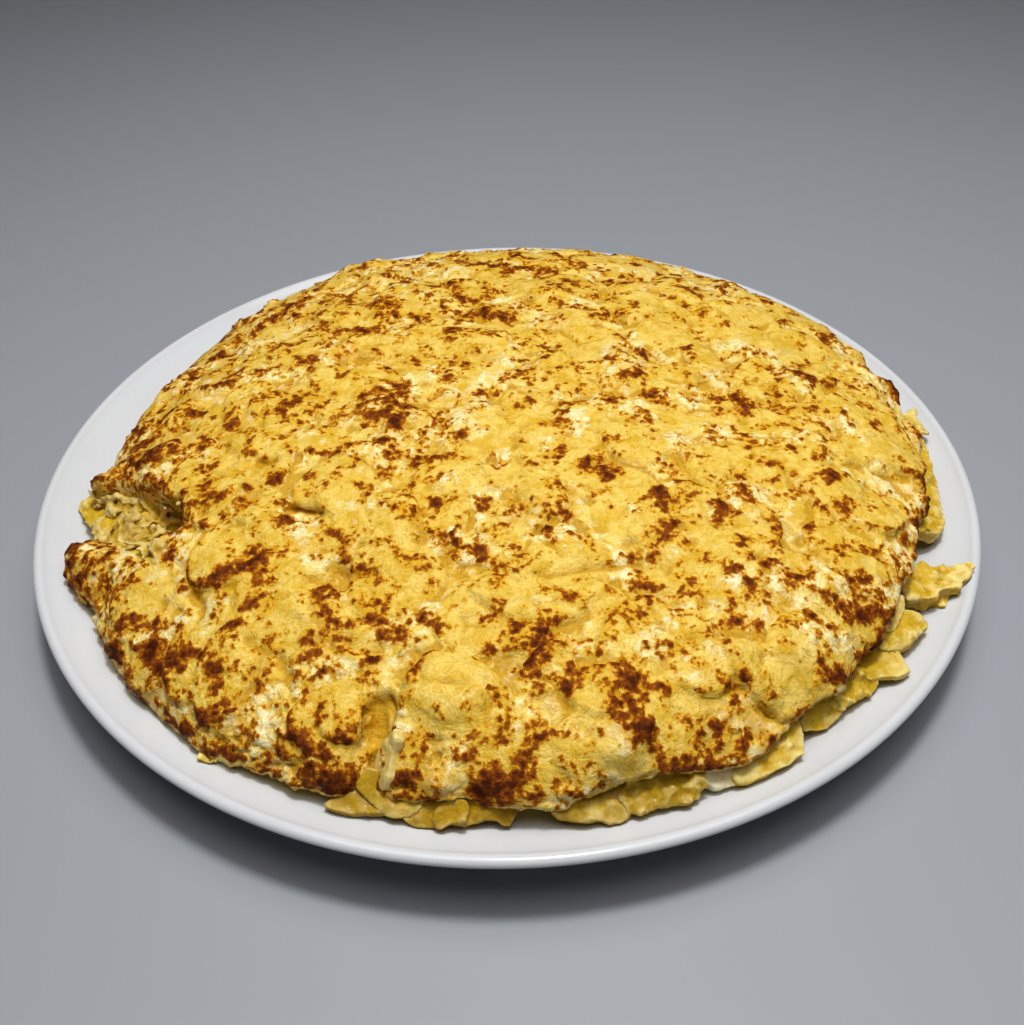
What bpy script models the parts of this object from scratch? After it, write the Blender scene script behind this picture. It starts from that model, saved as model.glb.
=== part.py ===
"""A whole Spanish omelette, turned out onto its round white serving plate.

Metres, +Z up. The origin is on the table under the plate's centre, and -Y is the side that faces the viewer.
The plate is a turned profile. The omelette is a drooping dome with potato slices fused over it, and its
underside takes the plate's form. The slices that stick out under its lip are pieces of their own.
"""

import math
import random

import bmesh
import bpy
from mathutils import Matrix, Vector, noise

MM = 0.001

# The plate
PLATE_RADIUS = 155 * MM
PLATE_HEIGHT = 22 * MM
WELL_RADIUS = 95 * MM
WELL_FLOOR = 7 * MM
SLOPE_TOP = 20 * MM
SLOPE_POWER = 1.6
SLOPE_RINGS = 5
LIP_WIDTH = 4.4 * MM
LIP_DEGREES = (140, 95, 50, 5)
LIP_FOOT_IN = 1.2 * MM
WALL = 4.5 * MM
UNDERSIDE_SHARES = (0.85, 0.42)
FOOT_RADIUS = 88 * MM
FOOT_WIDTH = 5 * MM
FOOT_OUTER_SLANT = 0.6 * MM
FOOT_INNER_SLANT = 1.0 * MM
FOOT_RECESS = 2.5 * MM
PLATE_SIDES = 72

# The omelette's outer form by direction: one value each 15 degrees, anticlockwise from +X, in millimetres
REACH = (138, 139.5, 141, 141.5, 141, 140.5, 140.5, 140, 138, 134.5, 131, 129,
         132, 145, 141, 142.5, 143.5, 141.5, 141.5, 141, 141, 139, 135.5, 137)
WAIST_HEIGHT = (30, 28, 25, 23, 22, 21, 21, 21, 22, 22, 22, 23,
                24, 21, 20, 20, 20, 22, 26, 29.5, 30.5, 30.5, 31, 31)
TUCK = (16, 12, 7, 4, 4, 4, 4, 4, 4, 4, 4, 4,
        4, 3, 2, 2, 3, 9, 13, 15, 16, 16, 15, 16)
CROWN_HEIGHT = 50 * MM
CROWN_POWER = 2.3
WAIST_SHARE = 0.82
FOOT_SHARE = 0.95
RAGGED = 2.0 * MM
RAGGED_REACH_LUMPS = 9.0
RAGGED_WAIST_LUMPS = 11.0
RAGGED_SHIFT = Vector((5.0, 0.0, 0.0))
SUNK = 2 * MM
UNDERCUT = 12 * MM
UNDERCUT_POWER = 2.2
UNDERSIDE_START = 3 * MM
GAP = 0.35 * MM
DOME_GRID = 96

# The torn place at the left, where the skin has split and the crumbly inside shows
TEAR_CENTRE = Vector((-123 * MM, -38 * MM))
TEAR_LENGTH = 28 * MM
TEAR_WIDTH = 9.5 * MM
TEAR_DEPTH = 18 * MM
TEAR_TURN = math.radians(-33)
TEAR_INWARDS, TEAR_DOWN = 0.8, 0.6
TEAR_EDGE_SHARE = 0.12
CRUMBS = 46
CRUMB_SIZE = (4 * MM, 8 * MM)
CRUMB_SUNK = (0.55, 0.95)
CRUMBS_ALONG = (-0.75, 0.85)
CRUMBS_ACROSS = (-0.8, 0.8)
CRUMB_FORM = (1.3, 1.0, 0.8)

# Cracks and hollows in the top: points along the middle in millimetres, then half width and depth
CRACKS = (
    (((-20, -77), (-6, -83), (5, -86), (18, -83), (30, -80), (40, -79)), 2.6, 2.0),
    (((-54, -80), (-49, -78), (-43, -79)), 3.4, 2.4),
    (((-64, -51), (-57, -55)), 1.9, 7.0),
    (((-100, -62), (-95, -70)), 3.0, 1.5),
    (((-34, -116), (-34, -124), (-36, -131), (-38, -140)), 2.6, 5.5),
    (((-22, -38), (-14, -36)), 2.4, 1.4),
    (((6, -28), (14, -30)), 2.4, 1.4),
    (((-77, -30), (-73, -32)), 1.6, 2.6),
    (((22, -109), (31, -111)), 2.4, 1.4),
    (((66, -17), (74, -15)), 2.4, 1.6),
)

CRACK_WAVER = 0.5
CRACK_WAVES = 140

# Potato slices under the skin. The large ones lie where the eye finds them: x, y and width in millimetres
LARGE_SLICES = (
    (86, 47, 34),
    (81, -83, 20),
    (79, -104, 24),
    (-15, -111, 26),
    (-40, -58, 28),
    (-19, -45, 27),
    (17, -52, 30),
    (50, -62, 26),
    (22, 72, 32),
    (-8, 39, 30),
    (100, -36, 30),
    (24, -124, 26),
    (-74, -70, 30),
    (-32, 66, 34),
    (60, 64, 30),
    (-84, 30, 30),
)
LARGE_SLICE_DEPTHS = (0.75, 0.95)
SMALL_SLICES = 96
SMALL_SLICE_DEPTHS = (0.6, 0.95)
SMALL_SLICE_SPREAD = 0.97
SMALL_SLICE_STRAY = 5 * MM
NARROWER_AT_EDGE = 0.45
SLICE_WIDTH = (19 * MM, 31 * MM)
SLICE_THICKNESS = (3.6 * MM, 5.0 * MM)
SLICE_PROUD = (0.0 * MM, 1.4 * MM)
LARGE_SLICE_PROUD = 1.0 * MM
SLICE_TILT = math.radians(11)
SLICE_SIDES = 16
SIDE_SLICE_SIDES = 12
WEDGE_SIDES = 18
SLICE_EDGE_ROUNDING = 0.16
SLICE_OVAL = 0.08
SLICE_THREE_SIDED = 0.07
SLICE_BOW = (-0.12, 0.25)
SEED = 7

# Relief pushed into the skin: depth, and how many swells in a metre
BROAD_SWELL, BROAD_SWELLS = 1.2 * MM, 26
SWELL, SWELLS = 0.6 * MM, 70
LUMP, LUMPS = 0.4 * MM, 190
SOFTENING = 2

# How finely the omelette is made, and how many triangles it keeps
CELL = 1.8 * MM
OMELETTE_TRIANGLES = 9200

# Slices and lumps that stick out under the lip: name, kind, direction in degrees, outermost radius,
# height of the middle, then length along the edge, depth inwards and thickness in millimetres, then its
# turn about the upright, its lean outwards and its roll along the edge, in degrees
SIDE_PIECES = (
    ("potato_front_1", "slice", -106.8, 144.5, 18.4, 15, 22, 4.0, 6, 6, 2),
    ("potato_front_2", "slice", -102.4, 143, 21.5, 17, 26, 4.6, -10, 26, -14),
    ("potato_front_3", "slice", -97.4, 142.7, 20.5, 19, 24, 6.0, 4, 14, 4),
    ("potato_front_4", "slice", -92.6, 140.7, 20.0, 13, 20, 4.0, 4, 14, 22),
    ("potato_front_5", "slice", -81.6, 143.2, 22.0, 24, 26, 6.5, 3, 26, 3),
    ("potato_front_6", "lump", -74.0, 144, 21.5, 20, 26, 11.0, -4, 12, -4),
    ("egg_white_front", "lump", -68.8, 142, 22.5, 10, 20, 12.5, 8, 8, 0),
    ("potato_front_7", "slice", -61.8, 144, 21.5, 27, 30, 7.6, 6, 16, -6),
    ("potato_right_1", "slice", -53.5, 141.5, 19.5, 15, 22, 4.6, 0, 8, 6),
    ("potato_right_2", "lump", -48.2, 142.5, 21.0, 17, 20, 9.5, -8, 0, 0),
    ("potato_right_3", "slice", -42.4, 147.4, 21.2, 18, 26, 3.8, 14, 6, 8),
    ("potato_right_4", "lump", -36.6, 145.2, 22.5, 20, 26, 12.0, -10, 0, 0),
    ("potato_right_5", "wedge", -27.3, 152, 22.8, 19, 31, 8.0, 0, -10, 4),
    ("potato_right_6", "lump", -14.4, 145.6, 22.0, 27, 28, 13.5, 3, 0, 0),
    ("filling_right_1", "lump", -5.2, 146.4, 22.5, 29, 28, 11.5, 2, 0, 0),
    ("filling_right_2", "lump", 3.4, 147.6, 22.5, 21, 26, 10.0, 0, 0, 0),
    ("crumb_left", "lump", -124.0, 146, 18.0, 7, 9, 4.5, 0, 0, 0),
    ("filling_left_1", "lump", -178.6, 142, 20.5, 16, 22, 11.5, 10, 0, 0),
    ("filling_left_2", "lump", -171.6, 145, 20.5, 12, 22, 8.5, -8, 0, 0),
    ("potato_back_1", "slice", 86.0, 143, 18.5, 22, 26, 5.0, 8, 8, 4),
    ("potato_back_2", "lump", 96.0, 142.5, 19.5, 15, 22, 9.0, 0, 0, 0),
    ("potato_back_3", "slice", 124.0, 141, 18.0, 20, 24, 4.6, -8, 4, -4),
)
LUMP_ROUGHNESS = 0.16
LUMP_KNOBS = 3.2
WEDGE_NARROWING = 0.62
WEDGE_NARROWS_FROM = 0.45
WEDGE_SWEEP = 0.30
WEDGE_THINNING = 0.25
WEDGE_WARP, WEDGE_WAVES = 0.10, 160

# The surface's looks
PORCELAIN = ((0.83, 0.83, 0.84, 1.0), 0.16)
BROWNED_EGG = ((0.80, 0.52, 0.13, 1.0), 0.55)
COOKED_POTATO = ((0.80, 0.62, 0.19, 1.0), 0.42)
EGG_WHITE = ((0.88, 0.82, 0.58, 1.0), 0.40)


def clear_scene():
    for obj in list(bpy.data.objects):
        bpy.data.objects.remove(obj, do_unlink=True)


def new_collection(name, shown=True):
    collection = bpy.data.collections.new(name)
    bpy.context.scene.collection.children.link(collection)
    collection.hide_render = not shown
    return collection


def new_material(name, look):
    colour, roughness = look
    material = bpy.data.materials.new(name)
    material.use_nodes = True
    shader = material.node_tree.nodes["Principled BSDF"]
    shader.inputs["Base Color"].default_value = colour
    shader.inputs["Roughness"].default_value = roughness
    shader.inputs["Metallic"].default_value = 0.0
    return material


def add_object(name, bm, collection, material=None):
    mesh = bpy.data.meshes.new(name)
    bm.to_mesh(mesh)
    bm.free()
    obj = bpy.data.objects.new(name, mesh)
    collection.objects.link(obj)
    if material:
        mesh.materials.append(material)
    return obj


def bake_modifiers(obj):
    """Puts the evaluated mesh in the object's place, without its modifiers."""
    bpy.context.view_layer.update()
    graph = bpy.context.evaluated_depsgraph_get()
    made = bpy.data.meshes.new_from_object(obj.evaluated_get(graph))
    obj.modifiers.clear()
    obj.data = made


def keep_largest_island(obj):
    """A cut can leave scraps, and a join can seal a hollow: only the largest closed shell stays."""
    bm = bmesh.new()
    bm.from_mesh(obj.data)
    unseen = set(bm.faces)
    islands = []
    while unseen:
        front = [unseen.pop()]
        island = set(front)
        while front:
            face = front.pop()
            for edge in face.edges:
                for other in edge.link_faces:
                    if other in unseen:
                        unseen.remove(other)
                        island.add(other)
                        front.append(other)
        islands.append(island)
    islands.sort(key=len)
    scraps = [face for island in islands[:-1] for face in island]
    bmesh.ops.delete(bm, geom=scraps, context="FACES")
    bm.to_mesh(obj.data)
    bm.free()


def cut(obj, cutter, solver="EXACT"):
    modifier = obj.modifiers.new("cut", "BOOLEAN")
    modifier.operation = "DIFFERENCE"
    modifier.object = cutter
    modifier.solver = solver
    bake_modifiers(obj)


def around(values, angle):
    """The value in a direction, on a smooth closed curve through values that are evenly spaced."""
    place = (angle / math.tau * len(values)) % len(values)
    first = int(place)
    t = place - first
    a, b, c, d = (values[(first + k) % len(values)] for k in (-1, 0, 1, 2))
    return 0.5 * (2 * b + (c - a) * t + (2 * a - 5 * b + 4 * c - d) * t**2 + (3 * b - a - 3 * c + d) * t**3)


def plate_surface(radius):
    """Height of the plate's upper side, inside its lip."""
    slope_end = PLATE_RADIUS - LIP_WIDTH
    t = min(max((radius - WELL_RADIUS) / (slope_end - WELL_RADIUS), 0.0), 1.0)
    return WELL_FLOOR + (SLOPE_TOP - WELL_FLOOR) * t**SLOPE_POWER


def upper_profile(lift=0.0):
    """Points (radius, height) from the plate's centre over the lip to its outer edge, raised by lift."""
    slope_end = PLATE_RADIUS - LIP_WIDTH
    points = [(0.0, WELL_FLOOR + lift)]
    for ring in range(SLOPE_RINGS + 1):
        radius = WELL_RADIUS + (slope_end - WELL_RADIUS) * ring / SLOPE_RINGS
        points.append((radius, plate_surface(radius) + lift))
    lip_radius = LIP_WIDTH / 2 + lift
    lip_centre = PLATE_RADIUS - LIP_WIDTH / 2
    lip_height = PLATE_HEIGHT - LIP_WIDTH / 2
    for degrees in LIP_DEGREES:
        turn = math.radians(degrees)
        points.append((lip_centre + lip_radius * math.cos(turn), lip_height + lip_radius * math.sin(turn)))
    return points


def turned(name, points, collection, material=None):
    """A solid of revolution from a profile that starts and ends on the axis."""
    bm = bmesh.new()
    verts = [bm.verts.new((radius, 0.0, height)) for radius, height in points]
    for a, b in zip(verts, verts[1:]):
        bm.edges.new((a, b))
    obj = add_object(name, bm, collection, material)
    screw = obj.modifiers.new("turn", "SCREW")
    screw.axis = "Z"
    screw.angle = math.tau
    screw.steps = PLATE_SIDES
    screw.render_steps = PLATE_SIDES
    screw.use_merge_vertices = True
    screw.merge_threshold = 0.0001
    screw.use_smooth_shade = True
    return obj


def make_plate(collection, material):
    """A coupe plate: flat well, shallow slope, a bead for a lip and a foot ring below."""
    slope_end = PLATE_RADIUS - LIP_WIDTH
    points = upper_profile()
    points.append((PLATE_RADIUS - LIP_FOOT_IN, PLATE_HEIGHT - LIP_WIDTH))
    for share in UNDERSIDE_SHARES:
        radius = FOOT_RADIUS + (slope_end - FOOT_RADIUS) * share
        points.append((radius, plate_surface(radius) - WALL))
    points += [
        (FOOT_RADIUS + FOOT_OUTER_SLANT, FOOT_RECESS),
        (FOOT_RADIUS, 0.0),
        (FOOT_RADIUS - FOOT_WIDTH, 0.0),
        (FOOT_RADIUS - FOOT_WIDTH - FOOT_INNER_SLANT, FOOT_RECESS),
        (0.0, FOOT_RECESS),
    ]
    return turned("plate", points, collection, material)


def make_plate_cutter(collection):
    """Everything that the plate's upper side holds up, with a gap: it shapes what lies on the plate."""
    below = -20 * MM
    outside = PLATE_RADIUS + 20 * MM
    lip_foot = PLATE_HEIGHT - LIP_WIDTH
    points = upper_profile(GAP)
    points += [(PLATE_RADIUS + GAP, lip_foot), (outside, lip_foot), (outside, below), (0.0, below)]
    return turned("plate_cutter", points, collection)


def skin_point(share, angle):
    """A point of the omelette's skin: share runs from 0 at the crown to 1 where its underside begins."""
    direction = Vector((math.cos(angle), math.sin(angle), 0.0))
    reach = around(REACH, angle) * MM + RAGGED * noise.fractal(direction * RAGGED_REACH_LUMPS, 1.0, 2.0, 4)
    waist = around(WAIST_HEIGHT, angle) * MM
    waist += RAGGED * noise.fractal(direction * RAGGED_WAIST_LUMPS + RAGGED_SHIFT, 1.0, 2.0, 4)
    if share < WAIST_SHARE:
        turn = 0.5 * math.pi * share / WAIST_SHARE
        point = direction * reach * math.sin(turn) ** (2 / CROWN_POWER)
        point.z = waist + (CROWN_HEIGHT - waist) * math.cos(turn)
        return point
    tuck = around(TUCK, angle) * MM
    foot = reach - tuck
    floor = plate_surface(foot) - SUNK
    fall = (share - WAIST_SHARE) / (FOOT_SHARE - WAIST_SHARE)
    if fall < 1:
        point = direction * (foot + tuck * (1 - fall) ** UNDERCUT_POWER)
        point.z = waist - (waist - floor) * fall
        return point
    fall = (share - FOOT_SHARE) / (1 - FOOT_SHARE)
    point = direction * (foot - UNDERCUT * fall)
    point.z = floor + (UNDERSIDE_START - floor) * fall
    return point


def tear_depth(point):
    """How far the skin is pushed in at the torn place: a long oval hollow, deepest in its middle."""
    offset = Vector((point.x, point.y)) - TEAR_CENTRE
    along = offset.x * math.cos(TEAR_TURN) + offset.y * math.sin(TEAR_TURN)
    across = offset.y * math.cos(TEAR_TURN) - offset.x * math.sin(TEAR_TURN)
    distance = (along / TEAR_LENGTH) ** 2 + (across / TEAR_WIDTH) ** 2
    return TEAR_DEPTH * math.exp(-(distance**2))


def make_dome(collection):
    """The omelette's plain form: a grid bent into a dome, with its skirt and a flat base below the plate."""
    bm = bmesh.new()
    bmesh.ops.create_grid(bm, x_segments=DOME_GRID, y_segments=DOME_GRID, size=1.0)
    for vert in bm.verts:
        x, y = vert.co.x, vert.co.y
        disc = Vector((x * math.sqrt(1 - y * y / 2), y * math.sqrt(1 - x * x / 2)))
        vert.co = skin_point(min(disc.length, 1.0), math.atan2(disc.y, disc.x))
        if vert.co.z > WELL_FLOOR:
            inwards = Vector((-vert.co.x, -vert.co.y, 0.0)).normalized() * TEAR_INWARDS
            inwards.z -= TEAR_DOWN
            vert.co += inwards * tear_depth(vert.co)
    rim = [edge for edge in bm.edges if edge.is_boundary]
    bmesh.ops.edgeloop_fill(bm, edges=rim)
    bmesh.ops.recalc_face_normals(bm, faces=bm.faces)
    return add_object("omelette_dome", bm, collection)


def skin_frame(x, y):
    """Where a plumb line at x, y meets the plain dome, and the dome's normal there."""
    angle = math.atan2(y, x)
    wanted = math.hypot(x, y)
    low, high = 0.0, WAIST_SHARE
    halvings = 24
    for _ in range(halvings):
        middle = 0.5 * (low + high)
        point = skin_point(middle, angle)
        if math.hypot(point.x, point.y) < wanted:
            low = middle
        else:
            high = middle
    step = 0.02
    start = min(low, WAIST_SHARE - step)
    point = skin_point(start, angle)
    downhill = skin_point(start + step, angle) - point
    sideways = Vector((-math.sin(angle), math.cos(angle), 0.0))
    return point, downhill.cross(sideways).normalized()


def potato_slice(width, depth, thickness, sides, rng):
    """A boiled potato slice lying flat at the origin: a soft-edged disc with an uneven outline and a bow."""
    bm = bmesh.new()
    bmesh.ops.create_cone(bm, cap_ends=True, segments=sides, radius1=0.5, radius2=0.5, depth=1.0)
    edges = [edge for edge in bm.edges if edge.verts[0].co.z * edge.verts[1].co.z > 0]
    bmesh.ops.bevel(bm, geom=edges, offset=SLICE_EDGE_ROUNDING, segments=2, profile=0.5, affect="EDGES")
    phase = rng.uniform(0, math.tau)
    bow = rng.uniform(*SLICE_BOW)
    for vert in bm.verts:
        angle = math.atan2(vert.co.y, vert.co.x)
        swell = 1 + SLICE_OVAL * math.sin(2 * angle + phase)
        swell += SLICE_THREE_SIDED * math.sin(3 * angle + 2 * phase)
        x, y = vert.co.x * swell * width, vert.co.y * swell * depth
        vert.co = Vector((x, y, vert.co.z * thickness - bow * (x * x + y * y) / width))
    return bm


def lump(width, depth, height, rng, rounds=2):
    """A knob of set egg or broken potato: a sphere that noise has pushed out of shape."""
    bm = bmesh.new()
    bmesh.ops.create_icosphere(bm, subdivisions=rounds, radius=0.5)
    offset = Vector((rng.uniform(0, 40), rng.uniform(0, 40), 0))
    for vert in bm.verts:
        push = 1 + 2 * LUMP_ROUGHNESS * noise.fractal(vert.co * LUMP_KNOBS + offset, 0.9, 2.0, 3)
        vert.co = Vector((vert.co.x * width, vert.co.y * depth, vert.co.z * height)) * push
    return bm


def wedge(width, depth, thickness, rng):
    """The loose chunk at the right: a slice broken to a point at its outer end."""
    bm = potato_slice(width, depth, thickness, WEDGE_SIDES, rng)
    for vert in bm.verts:
        outwards = vert.co.y / depth + 0.5
        narrow = 1 - WEDGE_NARROWING * max(outwards - WEDGE_NARROWS_FROM, 0.0)
        vert.co.x = vert.co.x * narrow - WEDGE_SWEEP * width * outwards**2
        vert.co.z *= 1 - WEDGE_THINNING * outwards
        vert.co.z += WEDGE_WARP * width * noise.noise(vert.co * WEDGE_WAVES)
    return bm


def place_on_skin(bm, x, y, proud, thickness, rng):
    """Lays a slice against the skin at x, y, with its face proud of it, a little tilted and turned anyhow."""
    point, normal = skin_frame(x, y)
    tilt = Matrix.Rotation(rng.uniform(-SLICE_TILT, SLICE_TILT), 4, "X")
    tilt @= Matrix.Rotation(rng.uniform(-SLICE_TILT, SLICE_TILT), 4, "Y")
    turn = Matrix.Rotation(rng.uniform(0, math.tau), 4, "Z")
    stand = normal.to_track_quat("Z", "Y").to_matrix().to_4x4()
    centre = point + normal * (proud - thickness / 2)
    bm.transform(Matrix.Translation(centre) @ stand @ tilt @ turn)


def in_tear(x, y):
    return tear_depth(Vector((x, y, 0.0))) > TEAR_EDGE_SHARE * TEAR_DEPTH


def make_skin_slices(collection, rng):
    """The potato slices that lie against the skin, all over the dome, each half sunk."""
    made = []
    for x, y, width in LARGE_SLICES:
        thickness = rng.uniform(*SLICE_THICKNESS)
        depth = width * rng.uniform(*LARGE_SLICE_DEPTHS)
        bm = potato_slice(width * MM, depth * MM, thickness, SLICE_SIDES, rng)
        place_on_skin(bm, x * MM, y * MM, LARGE_SLICE_PROUD, thickness, rng)
        made.append(add_object("skin_slice", bm, collection))
    golden = math.pi * (3 - math.sqrt(5))
    for index in range(SMALL_SLICES):
        share = SMALL_SLICE_SPREAD * math.sqrt((index + 0.5) / SMALL_SLICES)
        angle = index * golden
        reach = around(REACH, angle) * MM * share
        x = reach * math.cos(angle) + rng.uniform(-SMALL_SLICE_STRAY, SMALL_SLICE_STRAY)
        y = reach * math.sin(angle) + rng.uniform(-SMALL_SLICE_STRAY, SMALL_SLICE_STRAY)
        width = rng.uniform(*SLICE_WIDTH) * (1 - NARROWER_AT_EDGE * share**4)
        thickness = rng.uniform(*SLICE_THICKNESS)
        proud = rng.uniform(*SLICE_PROUD)
        if in_tear(x, y):
            continue
        bm = potato_slice(width, width * rng.uniform(*SMALL_SLICE_DEPTHS), thickness, SLICE_SIDES, rng)
        place_on_skin(bm, x, y, proud, thickness, rng)
        made.append(add_object("skin_slice", bm, collection))
    return made


def make_crumbs(collection, rng):
    """Crumbly egg and potato on the floor of the torn place."""
    made = []
    for _ in range(CRUMBS):
        along = rng.uniform(*CRUMBS_ALONG) * TEAR_LENGTH
        across = rng.uniform(*CRUMBS_ACROSS) * TEAR_WIDTH
        x = TEAR_CENTRE.x + along * math.cos(TEAR_TURN) - across * math.sin(TEAR_TURN)
        y = TEAR_CENTRE.y + along * math.sin(TEAR_TURN) + across * math.cos(TEAR_TURN)
        size = rng.uniform(*CRUMB_SIZE)
        point, normal = skin_frame(x, y)
        sunk = TEAR_DEPTH * rng.uniform(*CRUMB_SUNK)
        bm = lump(*(size * share for share in CRUMB_FORM), rng)
        turn = Matrix.Rotation(rng.uniform(0, math.tau), 4, "Z")
        bm.transform(Matrix.Translation(point - normal * sunk) @ turn)
        made.append(add_object("crumb", bm, collection))
    return made


def crack_depth(point):
    """How deep the cracks are at a point: each is a groove along its line, with an uneven floor."""
    deepest = 0.0
    here = Vector((point.x, point.y))
    for line, half_width, depth in CRACKS:
        ends = [Vector((x * MM, y * MM)) for x, y in line]
        away = 1.0
        for a, b in zip(ends, ends[1:]):
            along = min(max((here - a).dot(b - a) / (b - a).length_squared, 0.0), 1.0)
            away = min(away, (here - a - (b - a) * along).length)
        away *= 1 + CRACK_WAVER * noise.noise(point * CRACK_WAVES)
        deepest = max(deepest, depth * MM * math.exp(-((away / (half_width * MM)) ** 2)))
    return deepest


def roughen(obj):
    """Broad swells, lumpy egg and the cracks, pushed into the fused skin along its normals."""
    mesh = obj.data
    moved = []
    for vert in mesh.vertices:
        point = vert.co
        swell = BROAD_SWELL * noise.noise(point * BROAD_SWELLS) + SWELL * noise.noise(point * SWELLS)
        lumps = LUMP * noise.fractal(point * LUMPS, 0.8, 2.0, 3)
        moved.append(point + vert.normal * (swell + lumps - crack_depth(point)))
    for vert, point in zip(mesh.vertices, moved):
        vert.co = point


def make_omelette(collection, helpers, plate_cutter, material):
    """Dome, slices and crumbs made one solid, roughened, thinned out, and laid into the plate."""
    rng = random.Random(SEED)
    dome = make_dome(helpers)
    pieces = make_skin_slices(helpers, rng) + make_crumbs(helpers, rng)
    bm = bmesh.new()
    for obj in [dome, *pieces]:
        bm.from_mesh(obj.data)
        bpy.data.objects.remove(obj)
    omelette = add_object("omelette", bm, collection, material)
    remesh = omelette.modifiers.new("fuse", "REMESH")
    remesh.mode = "VOXEL"
    remesh.voxel_size = CELL
    bake_modifiers(omelette)
    keep_largest_island(omelette)
    roughen(omelette)
    smooth = omelette.modifiers.new("soften", "SMOOTH")
    smooth.factor = 0.5
    smooth.iterations = SOFTENING
    decimate = omelette.modifiers.new("thin_out", "DECIMATE")
    decimate.ratio = OMELETTE_TRIANGLES / (2 * len(omelette.data.polygons))
    decimate.use_collapse_triangulate = True
    bake_modifiers(omelette)
    cut(omelette, plate_cutter)
    keep_largest_island(omelette)
    return omelette


def swollen_copy(obj, collection, by):
    """A copy that is larger all round, to cut neighbours with, so that a gap stays between them."""
    mesh = obj.data.copy()
    for vert, normal in [(vert, vert.normal.copy()) for vert in mesh.vertices]:
        vert.co += normal * by
    copy = bpy.data.objects.new(obj.name + "_cutter", mesh)
    collection.objects.link(copy)
    copy.hide_render = True
    copy.display_type = "WIRE"
    return copy


def make_side_piece(spec, collection, materials, rng):
    name, kind, degrees, outermost, height, length, depth, thickness, turn, lean, roll = spec
    size = (length * MM, depth * MM, thickness * MM)
    if kind == "slice":
        bm = potato_slice(*size, SIDE_SLICE_SIDES, rng)
    elif kind == "wedge":
        bm = wedge(*size, rng)
    else:
        bm = lump(*size, rng)
    angle = math.radians(degrees)
    # The piece is made with +Y outwards, so it is turned by the direction less a quarter turn
    stand = Matrix.Rotation(angle - math.pi / 2 + math.radians(turn), 4, "Z")
    stand @= Matrix.Rotation(math.radians(-lean), 4, "X")
    stand @= Matrix.Rotation(math.radians(roll), 4, "Y")
    bm.transform(stand)
    radial = Vector((math.cos(angle), math.sin(angle), 0.0))
    reach = max(vert.co.dot(radial) for vert in bm.verts)
    centre = radial * (outermost * MM - reach)
    centre.z = height * MM
    bm.transform(Matrix.Translation(centre))
    material = materials["egg_white" if name.startswith("egg") else "potato"]
    return add_object(name, bm, collection, material)


def make_side_pieces(collection, helpers, omelette, plate_cutter, materials):
    """The pieces under the lip, cut where the plate, the omelette or an earlier piece is in the way."""
    rng = random.Random(SEED + 1)
    omelette_cutter = swollen_copy(omelette, helpers, GAP)
    in_the_way = [plate_cutter]
    for spec in SIDE_PIECES:
        piece = make_side_piece(spec, collection, materials, rng)
        # The swollen omelette folds over itself in its cracks, where the exact solver can lose a piece
        cut(piece, omelette_cutter, "MANIFOLD")
        for other in in_the_way:
            cut(piece, other)
        keep_largest_island(piece)
        in_the_way.append(swollen_copy(piece, helpers, GAP))


def main():
    clear_scene()
    shown = new_collection("spanish_omelette")
    helpers = new_collection("cutters", shown=False)
    materials = {
        "porcelain": new_material("porcelain", PORCELAIN),
        "egg": new_material("browned_egg", BROWNED_EGG),
        "potato": new_material("cooked_potato", COOKED_POTATO),
        "egg_white": new_material("egg_white", EGG_WHITE),
    }
    make_plate(shown, materials["porcelain"])
    plate_cutter = make_plate_cutter(helpers)
    plate_cutter.hide_render = True
    plate_cutter.display_type = "WIRE"
    omelette = make_omelette(shown, helpers, plate_cutter, materials["egg"])
    make_side_pieces(shown, helpers, omelette, plate_cutter, materials)


main()
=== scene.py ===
# %% [markdown]
# # A Spanish omelette on its plate
# A Spanish omelette is potato slices bound in egg, fried slowly in a round pan and turned out onto a plate.
# Its skin took the pan's heat, so it is browned wherever it stood proud and pale wherever it sank. The
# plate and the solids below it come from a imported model. This lesson gives them their real surface.

# %% Load the model
import math
import random

import bpy
import numpy as np
from mathutils import Matrix, Vector, noise
from mathutils.bvhtree import BVHTree
from mathutils.kdtree import KDTree


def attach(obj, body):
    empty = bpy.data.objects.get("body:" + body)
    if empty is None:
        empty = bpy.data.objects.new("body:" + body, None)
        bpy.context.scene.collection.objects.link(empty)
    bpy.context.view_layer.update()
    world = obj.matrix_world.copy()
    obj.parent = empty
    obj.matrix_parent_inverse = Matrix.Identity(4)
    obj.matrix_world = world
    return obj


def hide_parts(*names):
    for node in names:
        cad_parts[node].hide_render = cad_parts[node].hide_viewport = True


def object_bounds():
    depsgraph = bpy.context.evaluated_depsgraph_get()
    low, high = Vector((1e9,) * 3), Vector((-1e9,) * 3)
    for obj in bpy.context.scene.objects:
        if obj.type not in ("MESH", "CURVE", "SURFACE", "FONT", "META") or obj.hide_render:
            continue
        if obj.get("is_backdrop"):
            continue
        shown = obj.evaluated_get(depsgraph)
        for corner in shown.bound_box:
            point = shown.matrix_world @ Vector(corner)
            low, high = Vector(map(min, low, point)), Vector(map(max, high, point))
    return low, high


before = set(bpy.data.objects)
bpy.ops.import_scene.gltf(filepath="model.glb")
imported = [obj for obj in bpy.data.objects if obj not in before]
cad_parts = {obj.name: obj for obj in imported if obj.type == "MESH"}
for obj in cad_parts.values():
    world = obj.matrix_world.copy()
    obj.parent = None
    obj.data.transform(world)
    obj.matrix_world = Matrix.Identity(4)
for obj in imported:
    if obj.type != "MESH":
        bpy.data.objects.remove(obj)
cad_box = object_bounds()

MM = 0.001
SAME_PLACE = 0.01 * MM
print("nodes:", len(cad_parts), "box:", [round(v, 4) for v in cad_box[1]])


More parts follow.
